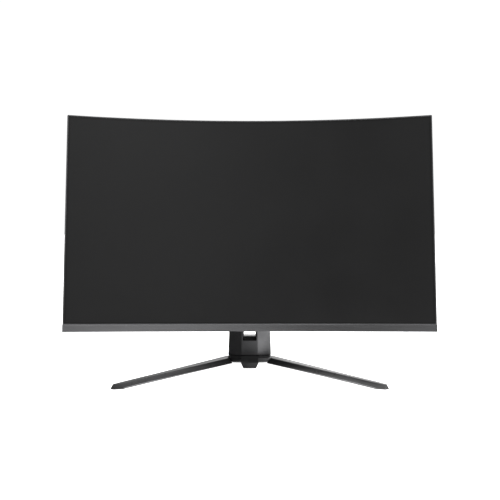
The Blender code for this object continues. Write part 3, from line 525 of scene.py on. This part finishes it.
FILM = anti_glare_film()
CHIN = brushed_chin()
RIM_FINISH = powder_coat("frame_line", (0.060, 0.060, 0.062), (0.085, 0.085, 0.088),
                         0.42, 0.6).material
CASING = moulded_plastic("moulded_casing", (0.020, 0.020, 0.021), (0.027, 0.027, 0.028))
SMOOTH_BLACK = moulded_plastic("fine_black_plastic", (0.012, 0.012, 0.013), (0.018, 0.018, 0.019),
                               4200.0, 0.46, 0.00003)
COLUMN = powder_coat("column_coat", (0.062, 0.062, 0.064), (0.074, 0.074, 0.076),
                     0.30, 0.95).material
BASE = powder_coat("base_coat", (0.030, 0.030, 0.031), (0.037, 0.037, 0.038), 0.32, 0.9).material
LEG = leg_coat()
RUBBER = rubber_material()
STEEL = plated_steel()
# near-black with hardly any gloss: black plastic, and also painted shade for the front ring of the cable hole
BLACK_WITH_PAINTED_SHADE = moulded_plastic("matt_black_with_painted_shade", (0.004, 0.004, 0.004), (0.007, 0.007, 0.007),
                             2300.0, 0.85)
BLACK_WITH_PAINTED_SHADE.node_tree.nodes["Principled BSDF"].inputs["Specular IOR Level"].default_value = 0.08
# light grey: a painted reflection of the bright room, used for the floor of the cable hole's rear ring
GREY_PAINTED_REFLECTION = powder_coat("grey_painted_reflection", (0.36, 0.36, 0.36), (0.44, 0.44, 0.44), 0.35, 0.2).material
DARK_STEEL = plated_steel("black_steel", 0.10)
TRIM = gloss_trim()
BOARD = circuit_material()
WHITE_FILM = simple_finish("white_film", (0.74, 0.75, 0.76), (0.82, 0.83, 0.84), 0.45, 30.0)
ACETAL = simple_finish("acetal", (0.66, 0.66, 0.63), (0.74, 0.74, 0.71), 0.40, 60.0)
TAPE = simple_finish("winding_tape", (0.42, 0.30, 0.07), (0.55, 0.40, 0.12), 0.38, 90.0)
RIBBON = simple_finish("flat_cable", (0.62, 0.60, 0.52), (0.74, 0.72, 0.64), 0.50, 140.0)
CLEAR = simple_finish("clear_plastic", (0.70, 0.75, 0.80), (0.80, 0.84, 0.88), 0.18, 50.0, 0.6)


# ---- head: the front -----------------------------------------------------------------------

def arc_sweep(outline, half, segments=FINE):
    """Sweep an outline of (depth, height) points along the curve of the screen."""
    rings = []
    for i in range(segments + 1):
        x = -half + 2 * half * i / segments
        rings.append([(x, arc_y(x, depth), z) for depth, z in outline])
    return loft(rings)


def screen():
    """The panel's front film, curved, with its edge just broken."""
    edge = 0.00025
    outline = fillet([(GLASS_FRONT, PANEL_LOW.z), (GLASS_BACK, PANEL_LOW.z),
                      (GLASS_BACK, PANEL_HIGH.z), (GLASS_FRONT, PANEL_HIGH.z)], edge, 2)
    piece = make("screen", arc_sweep(outline, PANEL_HIGH.x), FILM)
    shade(piece, 50.0)
    place(piece, "head", "panel_glass", ["panel_glass"], HEAD)


def rounded_path(half, low, high, radius, along=FINE, up=28, corner=6):
    """Points (x, z) round a rectangle with round corners, evenly spread along each side."""
    path = []
    sides = (
        ((-half + radius, low), (half - radius, low), along, -math.pi / 2),
        ((half, low + radius), (half, high - radius), up, 0.0),
        ((half - radius, high), (-half + radius, high), along, math.pi / 2),
        ((-half, high - radius), (-half, low + radius), up, math.pi),
    )
    for start, end, steps, turn in sides:
        for i in range(steps + 1):
            t = i / steps
            path.append((start[0] + (end[0] - start[0]) * t, start[1] + (end[1] - start[1]) * t))
        centre = (end[0] - radius * math.cos(turn), end[1] - radius * math.sin(turn))
        for i in range(1, corner):
            angle = turn + math.pi / 2 * i / corner
            path.append((centre[0] + radius * math.cos(angle),
                         centre[1] + radius * math.sin(angle)))
    return path


def frame_line():
    """The thin casing line round three sides of the screen."""
    back = RIM_HIGH.y - GLASS_Y
    corner = 0.0022
    inner_low = PANEL_LOW.z - PANEL_GAP
    profile = fillet([(0.0, 0.0), (0.0, back, 0.0002), (RIM, back, 0.0002), (RIM, 0.0, 0.0003)],
                     0.0005, 3)
    rings = []
    for inset, depth in profile:
        bottom = RIM_LOW.z + (inner_low - RIM_LOW.z) * (inset / RIM)
        path = rounded_path(HALF_WIDTH - inset, bottom, RIM_HIGH.z - inset, corner - inset * 0.8)
        rings.append([(x, arc_y(x, depth), z) for x, z in path])
    piece = make("frame_line", loft(rings, True), RIM_FINISH)
    shade(piece, 50.0)
    place(piece, "head", "black_plastic", ["mid_frame"], HEAD)


def chin():
    """The metal strip along the bottom, standing a little proud of the screen."""
    front, back = -0.0012, 0.0092
    ledge = RIM_LOW.z - 0.0003
    lip = 0.0003
    low_chamfer, top_chamfer = 0.0010, 0.0004
    outline = fillet([
        (front + low_chamfer, HEAD_LOW, 0.0002), (back, HEAD_LOW, 0.0003), (back, ledge, 0.0002),
        (-lip, ledge, 0.0), (-lip, CHIN_TOP, 0.0001), (front + top_chamfer, CHIN_TOP, 0.0002),
        (front, CHIN_TOP - top_chamfer, 0.0003), (front, HEAD_LOW + low_chamfer, 0.0003),
    ], 0.0003, 2)
    piece = make("chin", arc_sweep(outline, HALF_WIDTH), CHIN)
    shade(piece, 35.0)
    place(piece, "head", "brushed_chin", ["bottom_bezel"], HEAD)


# ---- head: the rear casing -----------------------------------------------------------------

COVER_FRONT, COVER_SIDE, COVER_BACK = 0.0095, 0.0160, 0.0205      # depths behind the screen
FOOT_DEPTH = COVER_BACK + 0.0005      # where the bulge's slopes start
WALL = 0.0022
BULGE_HALF, BULGE_LOW, BULGE_HIGH, BULGE_Y = 0.205, -0.150, 0.068, -0.010
FOOT_HALF, FOOT_LOW, FOOT_HIGH = 0.275, -0.180, 0.125
RECESS_HALF, RECESS_LOW, RECESS_HIGH, RECESS_Y = 0.060, -0.066, 0.120, -0.020
BAY_INNER, BAY_OUTER, BAY_LOW, BAY_HIGH, BAY_Y = 0.068, 0.176, -0.160, -0.095, -0.036
POCKETS = (                           # left, right, bottom, top and the y of its floor
    (-RECESS_HALF, RECESS_HALF, RECESS_LOW, RECESS_HIGH, RECESS_Y),
    (BAY_INNER, BAY_OUTER, BAY_LOW, BAY_HIGH, BAY_Y),
    (-BAY_OUTER, -BAY_INNER, BAY_LOW, BAY_HIGH, BAY_Y),
)
VESA_HALF = 0.050                     # of the 100 mm square of screws
VESA_PAD_HALF, VESA_PAD_HEIGHT, VESA_HOLE = 0.0062, 0.0008, 0.0022
VENTS_PER_SIDE, VENT_START, VENT_PITCH = 14, 0.078, 0.0088
VENT_LOW, VENT_HIGH, VENT_HALF = 0.084, 0.108, 0.0013
CONNECTORS = ("usb_port", "hdmi_port_1", "hdmi_port_2", "display_port", "audio_jack",
              "power_inlet")
JOYSTICK_HOLE = 0.0052
PIN_RADIUS, PIN_CHAMFER, PIN_LOW, PIN_HIGH = 0.0015, 0.0003, -0.0009, 0.00794
BUTTON_HALF, BUTTON_LOW, BUTTON_HIGH = 0.0036, -0.0605, -0.0510
LOCK_X, LOCK_Z, LOCK_HALF, LOCK_TALL = -0.1900, -0.030, 0.0035, 0.0015


def casing_rings(inset):
    """Rings of the casing from the middle of its flat back out to its front rim."""
    edge = COVER_HIGH.x - inset
    low = COVER_LOW.z + inset
    high = COVER_HIGH.z - inset
    flat = 0.012
    small = inset * 0.4
    bulge = (BULGE_HALF - small, BULGE_LOW + small, BULGE_HIGH - small)

    def ring(half, bottom, top, radius, y_of):
        return [Vector((x, y_of(x), z)) for x, z in rounded_path(half, bottom, top, radius)]

    def level(x):
        return BULGE_Y - inset

    return [
        ring(bulge[0] - flat, bulge[1] + flat, bulge[2] - flat, 0.006, level),
        ring(*bulge, 0.014, level),
        ring(FOOT_HALF, FOOT_LOW, FOOT_HIGH, 0.034, lambda x: arc_y(x, FOOT_DEPTH - inset)),
        ring(edge - 0.008, low + 0.006, high - 0.008, 0.010,
             lambda x: arc_y(x, COVER_BACK - inset)),
        ring(edge - 0.0008, low + 0.0008, high - 0.0008, 0.0030,
             lambda x: arc_y(x, COVER_SIDE - inset)),
        ring(edge, low, high, 0.0026, lambda x: arc_y(x, COVER_FRONT)),
    ]


def ease(rings, sizes, steps):
    """Round the crease at each inner ring, over the given length to each side of it."""
    eased = [rings[0]]
    for k, size in enumerate(sizes, 1):
        curves = [rounded(*corner, size, 0.45, steps)
                  for corner in zip(rings[k - 1], rings[k], rings[k + 1])]
        eased += [list(ring) for ring in zip(*curves)]
    eased.append(rings[-1])
    return eased


def slope_height(x, y, edge, foot):
    """Height at which a slope of the bulge, from its edge to its foot, passes a point."""
    share = 0.5
    for _ in range(20):
        along = abs(x) / (BULGE_HALF + (FOOT_HALF - BULGE_HALF) * share)
        foot_y = arc_y(FOOT_HALF * along, FOOT_DEPTH)
        share = min(max((BULGE_Y - y) / (BULGE_Y - foot_y), 0.0), 1.0)
    return edge + (foot - edge) * share


def pocket_wall(x0, x1, z0, z1, floor):
    """The material round a pocket, ending inside the wall of a slope that it runs out of."""
    back = BULGE_Y - 0.0010
    inside = 0.0013
    deep = floor - WALL
    steps = 8
    rings = []
    for i in range(steps + 1):
        x = x0 - WALL + (x1 - x0 + 2 * WALL) * i / steps
        low = [z0 - WALL] * 2
        high = [z1 + WALL] * 2
        if z0 < BULGE_LOW:
            low = [slope_height(x, y, BULGE_LOW, FOOT_LOW) + inside for y in (deep, back)]
        if z1 > BULGE_HIGH:
            high = [slope_height(x, y, BULGE_HIGH, FOOT_HIGH) - inside for y in (deep, back)]
        rings.append([(x, deep, low[0]), (x, back, low[1]),
                      (x, back, high[1]), (x, deep, high[0])])
    return loft(rings)


def pocket_space(x0, x1, z0, z1, floor):
    """The hollow of a pocket, carried on past a slope that it runs out of."""
    reach = 0.03
    radius = 0.004
    low = z0 - (reach if z0 < BULGE_LOW else 0.0)
    high = z1 + (reach if z1 > BULGE_HIGH else 0.0)
    return extrude(fillet(box_outline(x0, x1, low, high), radius, 5), "y", floor, 0.02)


def stadium(x, low, high, half, steps=5):
    """Outline of a slot with round ends."""
    points = []
    for centre, turn in ((high - half, 0.0), (low + half, math.pi)):
        for i in range(steps + 1):
            angle = turn + math.pi * i / steps
            points.append((x + half * math.cos(angle), centre + half * math.sin(angle)))
    return points


def vent_slots():
    """Two rows of upright slots through the upper slope."""
    slots = []
    for side in (-1, 1):
        for i in range(VENTS_PER_SIDE):
            x = side * (VENT_START + i * VENT_PITCH)
            slots.append(extrude(stadium(x, VENT_LOW, VENT_HIGH, VENT_HALF), "y", -0.045, 0.0))
    return together(slots)


def circle(radius, centre=(0.0, 0.0), segments=40):
    """Outline of a circle."""
    return [(centre[0] + radius * math.cos(math.tau * i / segments),
             centre[1] + radius * math.sin(math.tau * i / segments)) for i in range(segments)]


def port_openings():
    """Holes in the ceilings of the bays, each 0.3 mm clear of its connector."""
    slots = []
    clear = 0.0003
    for node in CONNECTORS:
        low, high = head_box(node)
        outline = box_outline(low.x - clear, high.x + clear, low.y - clear, high.y + clear)
        slots.append(extrude(outline, "z", BAY_HIGH - 0.002, BAY_HIGH + WALL + 0.001))
    return together(slots)


def vesa_corners():
    """Pads at the corners of the 100 mm mount, and the screw holes in them."""
    corners = [(x, z) for x in (-VESA_HALF, VESA_HALF) for z in (-VESA_HALF, VESA_HALF)]
    half = VESA_PAD_HALF
    pads = [extrude(fillet(box_outline(x - half, x + half, z - half, z + half), 0.0020, 4),
                    "y", RECESS_Y - 0.001, RECESS_Y + VESA_PAD_HEIGHT) for x, z in corners]
    holes = [extrude(circle(VESA_HOLE, corner, 24), "y", RECESS_Y - 0.01, 0.0)
             for corner in corners]
    return together(pads), together(holes)


def rear_casing():
    """The moulded back of the head, with everything that is cut into it."""
    outer = ease(casing_rings(0.0), (0.0032, 0.0120, 0.0050, 0.0012), 5)
    inner = ease(casing_rings(WALL), (0.0020, 0.0080, 0.0030, 0.0008), 2)
    piece = make("rear_casing", loft(outer + inner[::-1]), CASING)
    for pocket in POCKETS:
        carve(piece, pocket_wall(*pocket), "UNION")
    for pocket in POCKETS:
        carve(piece, pocket_space(*pocket))
    pads, holes = vesa_corners()
    carve(piece, pads, "UNION")
    carve(piece, holes)
    carve(piece, vent_slots())
    carve(piece, port_openings())
    joystick = extrude(circle(JOYSTICK_HOLE, segments=48), "z", -0.001, 0.012)
    joystick.transform(HEAD_INVERSE @ JOYSTICK)
    carve(piece, joystick)
    button = box_outline(-BUTTON_HALF, BUTTON_HALF, BUTTON_LOW, BUTTON_HIGH)
    carve(piece, extrude(button, "y", RECESS_Y - 0.01, RECESS_Y + 0.01))
    lock = fillet(box_outline(LOCK_X - LOCK_HALF, LOCK_X + LOCK_HALF, LOCK_Z - LOCK_TALL,
                              LOCK_Z + LOCK_TALL), 0.0008, 3)
    carve(piece, extrude(lock, "y", -0.0300, 0.0))
    shade(piece)
    place(piece, "head", "black_plastic", ["rear_cover"], HEAD)


def stem():
    """The joystick's pin, just short enough not to touch the roof of a pressed cap."""
    tip = PIN_RADIUS - PIN_CHAMFER
    levels = ((tip, PIN_LOW), (PIN_RADIUS, PIN_LOW + PIN_CHAMFER),
              (PIN_RADIUS, PIN_HIGH - PIN_CHAMFER), (tip, PIN_HIGH))
    rings = [[(x, y, z) for x, y in circle(size, segments=32)] for size, z in levels]
    piece = make("joystick_pin", loft(rings), ACETAL)
    shade(piece, 35.0)
    place(piece, "joystick_stem", "glide", ["joystick_stem"], JOYSTICK)


def rear_accent():
    """The gloss panel under and beside the recess."""
    low, high = head_box("rear_trim")
    inner = RECESS_HALF + 0.0025
    under = RECESS_LOW - 0.003
    cut = 0.012
    outline = fillet([
        (low.x, low.z + cut, 0.003), (low.x + cut, low.z, 0.003),
        (high.x - cut, low.z, 0.003), (high.x, low.z + cut, 0.003), (high.x, high.z),
        (inner, high.z), (inner, under, 0.003), (-inner, under, 0.003), (-inner, high.z),
        (low.x, high.z),
    ], 0.002, 4)
    piece = make("rear_accent", extrude(outline, "y", low.y, high.y), TRIM)
    soften(piece, 0.0004, 2)
    place(piece, "head", "gloss_trim", ["rear_trim"], HEAD)


# ---- column --------------------------------------------------------------------------------

COLUMN_LOW, COLUMN_HIGH = 0.0123, 0.4100
COLUMN_HALF = (0.0453, 0.0290)        # at its foot and at its top
COLUMN_FRONT, COLUMN_REAR = -0.033, 0.029
REAR_CHAMFER = 0.010
COLUMN_SEAM, SEAM_GAP = 0.00385, 0.0004
FLAT_HALF = 0.0173                    # of the flat between the two slanted flanks
FLANK_SLANT = math.radians(14.0)
SHELL = 0.0024
ARM_SLOT_HALF = 0.0116
ARM_SLOT_MORE = 0.0125                # past the arm's middle, at either end of its travel


def column_outline(z, inset, front_half):
    """One half of the shell's section: its outer face, then its inner face the other way."""
    share = (z - COLUMN_LOW) / (COLUMN_HIGH - COLUMN_LOW)
    half = COLUMN_HALF[0] + (COLUMN_HALF[1] - COLUMN_HALF[0]) * share

    def face(deep, radius):
        """Corners from one seam to the other, at a depth below the outer face."""
        side = half - deep
        if front_half:
            seam = COLUMN_SEAM - SEAM_GAP / 2
            flat = FLAT_HALF - deep * math.tan(FLANK_SLANT / 2)
            front = COLUMN_FRONT + deep
            flank = COLUMN_FRONT + (half - FLAT_HALF) * math.tan(FLANK_SLANT) + deep * 0.8
            return [(-side, seam, 0.0003), (-side, flank, radius), (-flat, front, 0.0012),
                    (flat, front, 0.0012), (side, flank, radius), (side, seam, 0.0003)]
        seam = COLUMN_SEAM + SEAM_GAP / 2
        rear = COLUMN_REAR - deep
        flat = half - REAR_CHAMFER - deep * 0.6
        flank = COLUMN_REAR - REAR_CHAMFER - deep * 0.4
        return [(side, seam, 0.0003), (side, flank, radius), (flat, rear, radius),
                (-flat, rear, radius), (-side, flank, radius), (-side, seam, 0.0003)]

    return fillet(face(inset, 0.0018) + face(SHELL, 0.0010)[::-1], 0.0010, 4)


def column():
    """The two halves of the column's shell, with the slot for the arm and the cable hole."""
    liner_low, liner_high = cad_corners("cable_hole_liner")
    arm_low, arm_high = cad_corners("lift_arm")
    travel = JOINTS["height_slide"]["range_m"][1]
    middle = (arm_low.z + arm_high.z) / 2
    clear = 0.0003
    past = 0.03
    window = fillet(box_outline(liner_low.x - clear, liner_high.x + clear,
                                liner_low.z - clear, liner_high.z + clear), 0.0014, 4)
    slot = fillet(box_outline(-ARM_SLOT_HALF, ARM_SLOT_HALF, middle - ARM_SLOT_MORE,
                              middle + travel + ARM_SLOT_MORE), 0.004, 5)
    end = 0.0006
    insets = ((0.0, end), (end * 0.3, end * 0.3), (end, 0.0))
    levels = ([(COLUMN_LOW + up, inset) for up, inset in insets]
              + [(COLUMN_HIGH - down, inset) for down, inset in reversed(insets)])
    for front_half, name, node in ((True, "column_front_shell", "column_front"),
                                   (False, "column_rear_shell", "column_rear")):
        rings = [[(x, y, z) for x, y in column_outline(z, inset, front_half)]
                 for z, inset in levels]
        piece = make(name, loft(rings), COLUMN)
        carve(piece, extrude(window, "y", COLUMN_FRONT - past, COLUMN_REAR + past))
        if front_half:
            carve(piece, extrude(slot, "y", COLUMN_FRONT - past, -0.02))
        shade(piece, 25.0)
        place(piece, "stand", "dark_metal", [node])


# ---- cable hole ----------------------------------------------------------------------------

LINER_WALL, LINER_FLARE, FLARE_DEPTH = 0.0017, 0.0010, 0.0012
LINER_MIDDLE, LINER_GAP = 0.004, 0.0001
REAR_FLOOR_RISE = 0.0020              # the rear ring's floor shows above the front one's


def cable_hole():
    """Two trim rings lining the hole through the column, one for each half of its shell. The front ring is
    near-black matt plastic that also serves as painted shade of the recess; the rear ring is light grey, a painted
    reflection of the bright room on the hole's floor.
    """
    low, high = cad_corners("cable_hole_liner")
    centre = (low + high) / 2
    half = (high - low) / 2
    outer = box_outline(low.x, high.x, low.z, high.z)

    def tube(name, rise, inner_end, mouth, finish):
        """A ring from its inner end to its mouth, where the bore flares."""
        out = 1.0 if mouth > inner_end else -1.0
        bore = box_outline(low.x + LINER_WALL, high.x - LINER_WALL,
                           low.z + LINER_WALL + rise, high.z - LINER_WALL)
        rings = []
        for corners, radius, grow, y in (
            (outer, 0.0012, 0.0, inner_end), (outer, 0.0012, 0.0, mouth),
            (bore, 0.0006, LINER_FLARE, mouth), (bore, 0.0006, 0.0, mouth - out * FLARE_DEPTH),
            (bore, 0.0006, 0.0, inner_end),
        ):
            wider, taller = 1 + grow / half.x, 1 + grow / half.z
            rings.append([(centre.x + (x - centre.x) * wider, y,
                           centre.z + (z - centre.z) * taller)
                          for x, z in fillet(corners, radius, 4)])
        piece = make(name, loft(rings, True), finish)
        shade(piece, 35.0)
        return piece

    # front ring: black plastic and painted shade; rear ring: painted reflection in light grey
    near = tube("cable_hole_front", 0.0, LINER_MIDDLE - LINER_GAP, low.y, BLACK_WITH_PAINTED_SHADE)
    far = tube("cable_hole_rear", REAR_FLOOR_RISE, LINER_MIDDLE + LINER_GAP, high.y, GREY_PAINTED_REFLECTION)
    place(near, "stand", "black_plastic", ["cable_hole_liner"])
    place(far, "stand", "black_plastic")


# ---- CAD pieces that stay ------------------------------------------------------------------

def keep(node, finish, edge=0.0, segments=3):
    """Give a CAD piece its finish and soft edges; its own mesh isn't touched."""
    piece = frame["nodes"][node]
    piece.data.materials.clear()
    piece.data.materials.append(finish)
    weld = piece.modifiers.new("weld", "WELD")
    weld.merge_threshold = 0.00001
    flat = piece.modifiers.new("flat_faces", "DECIMATE")
    flat.decimate_type = "DISSOLVE"
    flat.angle_limit = math.radians(0.6)
    if edge:
        soften(piece, edge, segments)
    else:
        weight = piece.modifiers.new("normals", "WEIGHTED_NORMAL")
        weight.keep_sharp = True


def cad_pieces():
    """The finish and the edge radius of every CAD piece that stays."""
    keep("column_cap", SMOOTH_BLACK, 0.0006)
    keep("base_hub", BASE, 0.0007)
    for side in ("left", "right"):
        keep(side + "_leg", LEG, 0.0008)
        keep(side + "_leg_pad", RUBBER, 0.0006)
        keep(side + "_leg_screw", DARK_STEEL, 0.0002, 2)
        keep("glide_" + side, ACETAL, 0.0003, 2)
        keep("friction_washer_" + side, STEEL, 0.0001, 1)
    keep("hub_foot", RUBBER, 0.0004, 2)
    keep("base_screw", STEEL, 0.0004, 2)
    keep("stand_plate", BASE, 0.0006)
    keep("lift_arm", BASE, 0.0008)
    keep("arm_cover", SMOOTH_BLACK, 0.0008)
    keep("release_button", SMOOTH_BLACK, 0.0005)
    keep("joystick_cap", SMOOTH_BLACK, 0.0001, 2)
    keep("joystick_base", SMOOTH_BLACK, 0.0002, 2)
    keep("power_inlet", SMOOTH_BLACK, 0.0003, 2)
    for node in ("tilt_bracket", "mount_bracket", "carriage", "column_frame"):
        keep(node, STEEL, 0.0003, 2)
    for node in ("tilt_nut", "tilt_shaft", "disc_spring", "drum_axle", "spring_drum",
                 "joystick_gimbal", "hdmi_port_1", "hdmi_port_2", "display_port", "usb_port",
                 "audio_jack"):
        keep(node, STEEL, 0.0001, 1)
    for node in ("panel_chassis", "board_shield"):
        keep(node, DARK_STEEL, 0.0001, 1)
    for node in ("main_board", "power_board", "tcon_board"):
        keep(node, BOARD, 0.0002, 1)
    for node in ("diffuser_sheets", "light_guide", "reflector_sheet", "led_bar"):
        keep(node, WHITE_FILM)
    keep("power_transformer", TAPE, 0.0008)
    keep("ribbon_cable", RIBBON)
    keep("light_pipe", CLEAR, 0.0002, 2)


def soft_copy(node, body):
    """A steel copy of a spring, of the CAD's shape, in place of its CAD node."""
    mesh = frame["nodes"][node].data.copy()
    mesh.materials.clear()
    mesh.materials.append(STEEL)
    piece = add(node + "_soft", mesh)
    shade(piece, 40.0)
    return place(piece, body, "steel", [node])


def springs():
    """Steel copies of the lift's ribbon and the button's coil, each with a mesh of its own."""
    strip = soft_copy("spring_strip", "stand")
    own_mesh(strip)
    coil = soft_copy("release_spring", "head")
    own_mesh(coil)


# ---- studio --------------------------------------------------------------------------------

# (direction along X, strength) of the room that the object reflects, in front and behind
FRONT_STOPS = ((-0.60, 0.25), (-0.30, 1.6), (-0.23, 2.3), (-0.185, 0.4), (-0.13, 0.0),
               (-0.06, 0.7), (0.0, 1.6), (0.06, 1.7), (0.12, 2.6), (0.16, 3.6), (0.23, 0.4),
               (0.32, 0.7), (0.60, 3.0), (1.0, 1.4))
BACK_STOPS = ((-0.60, 0.9), (-0.20, 0.55), (-0.10, 1.1), (0.0, 1.6), (0.08, 2.1), (0.20, 2.7),
              (0.60, 1.2))
STRONGEST = 4.0                       # above every strength in the stops
ROOM_TOP = 0.6
WHITE_BEHIND = 1.3
PALE = (0.86, 0.86, 0.86)
FLOOR_SIZE = 30.0
FLOOR_DROP = 0.0002                   # the floor lies this far under the feet
FLOOR_GLOW = 1.1
CARD_LEFT, CARD_MIDDLE, CARD_RIGHT = 0.13, 1.05, 4.2      # strengths of the floor's painted glow, seen in reflections only
CARD_BEYOND = 0.8                     # the same painted glow, past the far edge of the cards


def studio_world():
    """White behind everything the camera sees, and a soft room of lights for the reflections."""
    world = bpy.data.worlds.new("studio")
    bpy.context.scene.world = world
    world.use_nodes = True
    nodes = world.node_tree.nodes
    links = world.node_tree.links
    nodes.clear()
    direction = nodes.new("ShaderNodeTexCoord").outputs["Generated"]
    split = nodes.new("ShaderNodeSeparateXYZ")
    links.new(direction, split.inputs[0])

    def glow(axis, start, end, low, high):
        node = nodes.new("ShaderNodeMapRange")
        node.interpolation_type = "SMOOTHSTEP"
        node.inputs["From Min"].default_value = start
        node.inputs["From Max"].default_value = end
        node.inputs["To Min"].default_value = low
        node.inputs["To Max"].default_value = high
        links.new(split.outputs[axis], node.inputs["Value"])
        return node.outputs["Result"]

    def combine(operation, first, second):
        node = nodes.new("ShaderNodeMath")
        node.operation = operation
        links.new(first, node.inputs[0])
        links.new(second, node.inputs[1])
        return node.outputs[0]

    def profile(stops):
        """Strength along X, eased between its stops."""
        ramp = nodes.new("ShaderNodeValToRGB")
        ramp.color_ramp.interpolation = "EASE"
        links.new(across.outputs["Result"], ramp.inputs[0])
        elements = ramp.color_ramp.elements
        while len(elements) < len(stops):
            elements.new(1.0)
        for element, (x, strength) in zip(elements, stops):
            element.position = (x + 1.0) / 2.0
            element.color = (strength / STRONGEST,) * 3 + (1.0,)
        boost = nodes.new("ShaderNodeMath")
        boost.operation = "MULTIPLY"
        boost.inputs[1].default_value = STRONGEST
        links.new(ramp.outputs["Color"], boost.inputs[0])
        return boost.outputs[0]

    across = nodes.new("ShaderNodeMapRange")
    across.inputs["From Min"].default_value = -1.0
    links.new(split.outputs["X"], across.inputs["Value"])
    front = combine("MULTIPLY", profile(FRONT_STOPS), glow("Y", -0.2, 0.25, 1.0, 0.0))
    front = combine("MULTIPLY", front, glow("Z", 0.15, 0.50, 0.80, 1.15))
    backdrop = combine("MULTIPLY", profile(BACK_STOPS), glow("Y", -0.05, 0.5, 0.0, 1.0))
    backdrop = combine("MULTIPLY", backdrop, glow("Z", 0.25, 0.55, 1.0, 0.15))
    room = combine("ADD", combine("ADD", front, backdrop), glow("Z", 0.60, 1.0, 0.0, ROOM_TOP))
    lit = nodes.new("ShaderNodeBackground")
    links.new(room, lit.inputs["Strength"])
    white = nodes.new("ShaderNodeBackground")
    white.inputs["Strength"].default_value = WHITE_BEHIND
    seen = nodes.new("ShaderNodeLightPath").outputs["Is Camera Ray"]
    mix = nodes.new("ShaderNodeMixShader")
    links.new(seen, mix.inputs[0])
    links.new(lit.outputs[0], mix.inputs[1])
    links.new(white.outputs[0], mix.inputs[2])
    out = nodes.new("ShaderNodeOutputWorld")
    links.new(mix.outputs[0], out.inputs["Surface"])


def floor():
    """Pale floor that reads as a white sweep, with painted glow that only reflections show, dim to the left and
    bright to the right, like studio cards.
    """
    mesh = bpy.data.meshes.new("floor")
    half = FLOOR_SIZE / 2
    corners = [(-half, -half, 0.0), (half, -half, 0.0), (half, half, 0.0), (-half, half, 0.0)]
    mesh.from_pydata(corners, [], [(0, 1, 2, 3)])
    ground = add("floor", mesh)
    ground.location.z = -FLOOR_DROP
    made = Shader("pale_floor", PALE, 0.9, 0.0, 0.1)
    made.set("Emission Color", (1.0, 1.0, 1.0, 1.0))
    path = made.nodes.new("ShaderNodeLightPath")
    seen, mirrored = path.outputs["Is Camera Ray"], path.outputs["Is Glossy Ray"]
    across = made.axis("X")
    # painted reflections: the floor glows for reflections only, dim on the left and bright on the right
    reflection_glow = made.maths("ADD", made.span(across, CARD_LEFT, CARD_MIDDLE, -0.05, 0.0, True),
                      made.span(across, 0.0, CARD_RIGHT - CARD_MIDDLE, 0.02, 0.09, True))
    reach = made.span(made.axis("Y"), 0.0, 1.0, -1.0, -0.6, True)
    reflection_glow = made.maths("ADD", made.maths("MULTIPLY", reflection_glow, reach),
                      made.span(reach, CARD_BEYOND, 0.0))
    # in reflections the floor is black, apart from its painted glow
    made.drive("Base Color", made.blend(mirrored, PALE, (0.0, 0.0, 0.0)))
    made.drive("Emission Strength", made.maths("ADD", made.maths("MULTIPLY", seen, FLOOR_GLOW),
                                               made.maths("MULTIPLY", mirrored, reflection_glow)))
    mesh.materials.append(made.material)


def soft_light(name, location, target, size, power):
    """A rectangular lamp that the camera doesn't see."""
    lamp = bpy.data.lights.new(name, "AREA")
    lamp.shape = "RECTANGLE"
    lamp.size, lamp.size_y = size
    lamp.energy = power
    holder = add(name, lamp)
    holder.location = location
    aim = Vector(target) - Vector(location)
    holder.rotation_euler = aim.to_track_quat("-Z", "Y").to_euler()
    holder.visible_camera = False


def camera():
    """Just above the middle of the stand, looking slightly down, as in a product shot."""
    data = bpy.data.cameras.new("camera")
    data.sensor_width = 36.0
    data.lens = 50.04
    data.shift_x = 0.0006
    data.clip_start = 0.05
    eye = add("camera", data)
    eye.location = (0.0, -1.484, 0.292)
    eye.rotation_euler = (math.radians(90.0 - 2.29), 0.0, 0.0)
    bpy.context.scene.camera = eye


def studio():
    """The room, the floor, four lamps and the camera."""
    scene = bpy.context.scene
    scene.view_settings.view_transform = "Standard"
    scene.view_settings.look = "None"
    studio_world()
    floor()
    soft_light("key_right", (1.9, -0.9, 1.5), (0.0, -0.1, 0.25), (1.4, 1.4), 26.0)
    soft_light("fill_top", (-0.4, -0.5, 2.4), (0.0, -0.1, 0.2), (2.2, 1.6), 18.0)
    soft_light("rear_left", (-1.5, 1.7, 1.5), (0.0, 0.0, 0.3), (0.9, 0.9), 26.0)
    soft_light("rear_right", (1.9, 1.1, 0.6), (0.0, 0.0, 0.3), (0.5, 1.0), 9.0)
    camera()


screen()
frame_line()
chin()
rear_casing()
rear_accent()
stem()
column()
cable_hole()
cad_pieces()
springs()
studio()
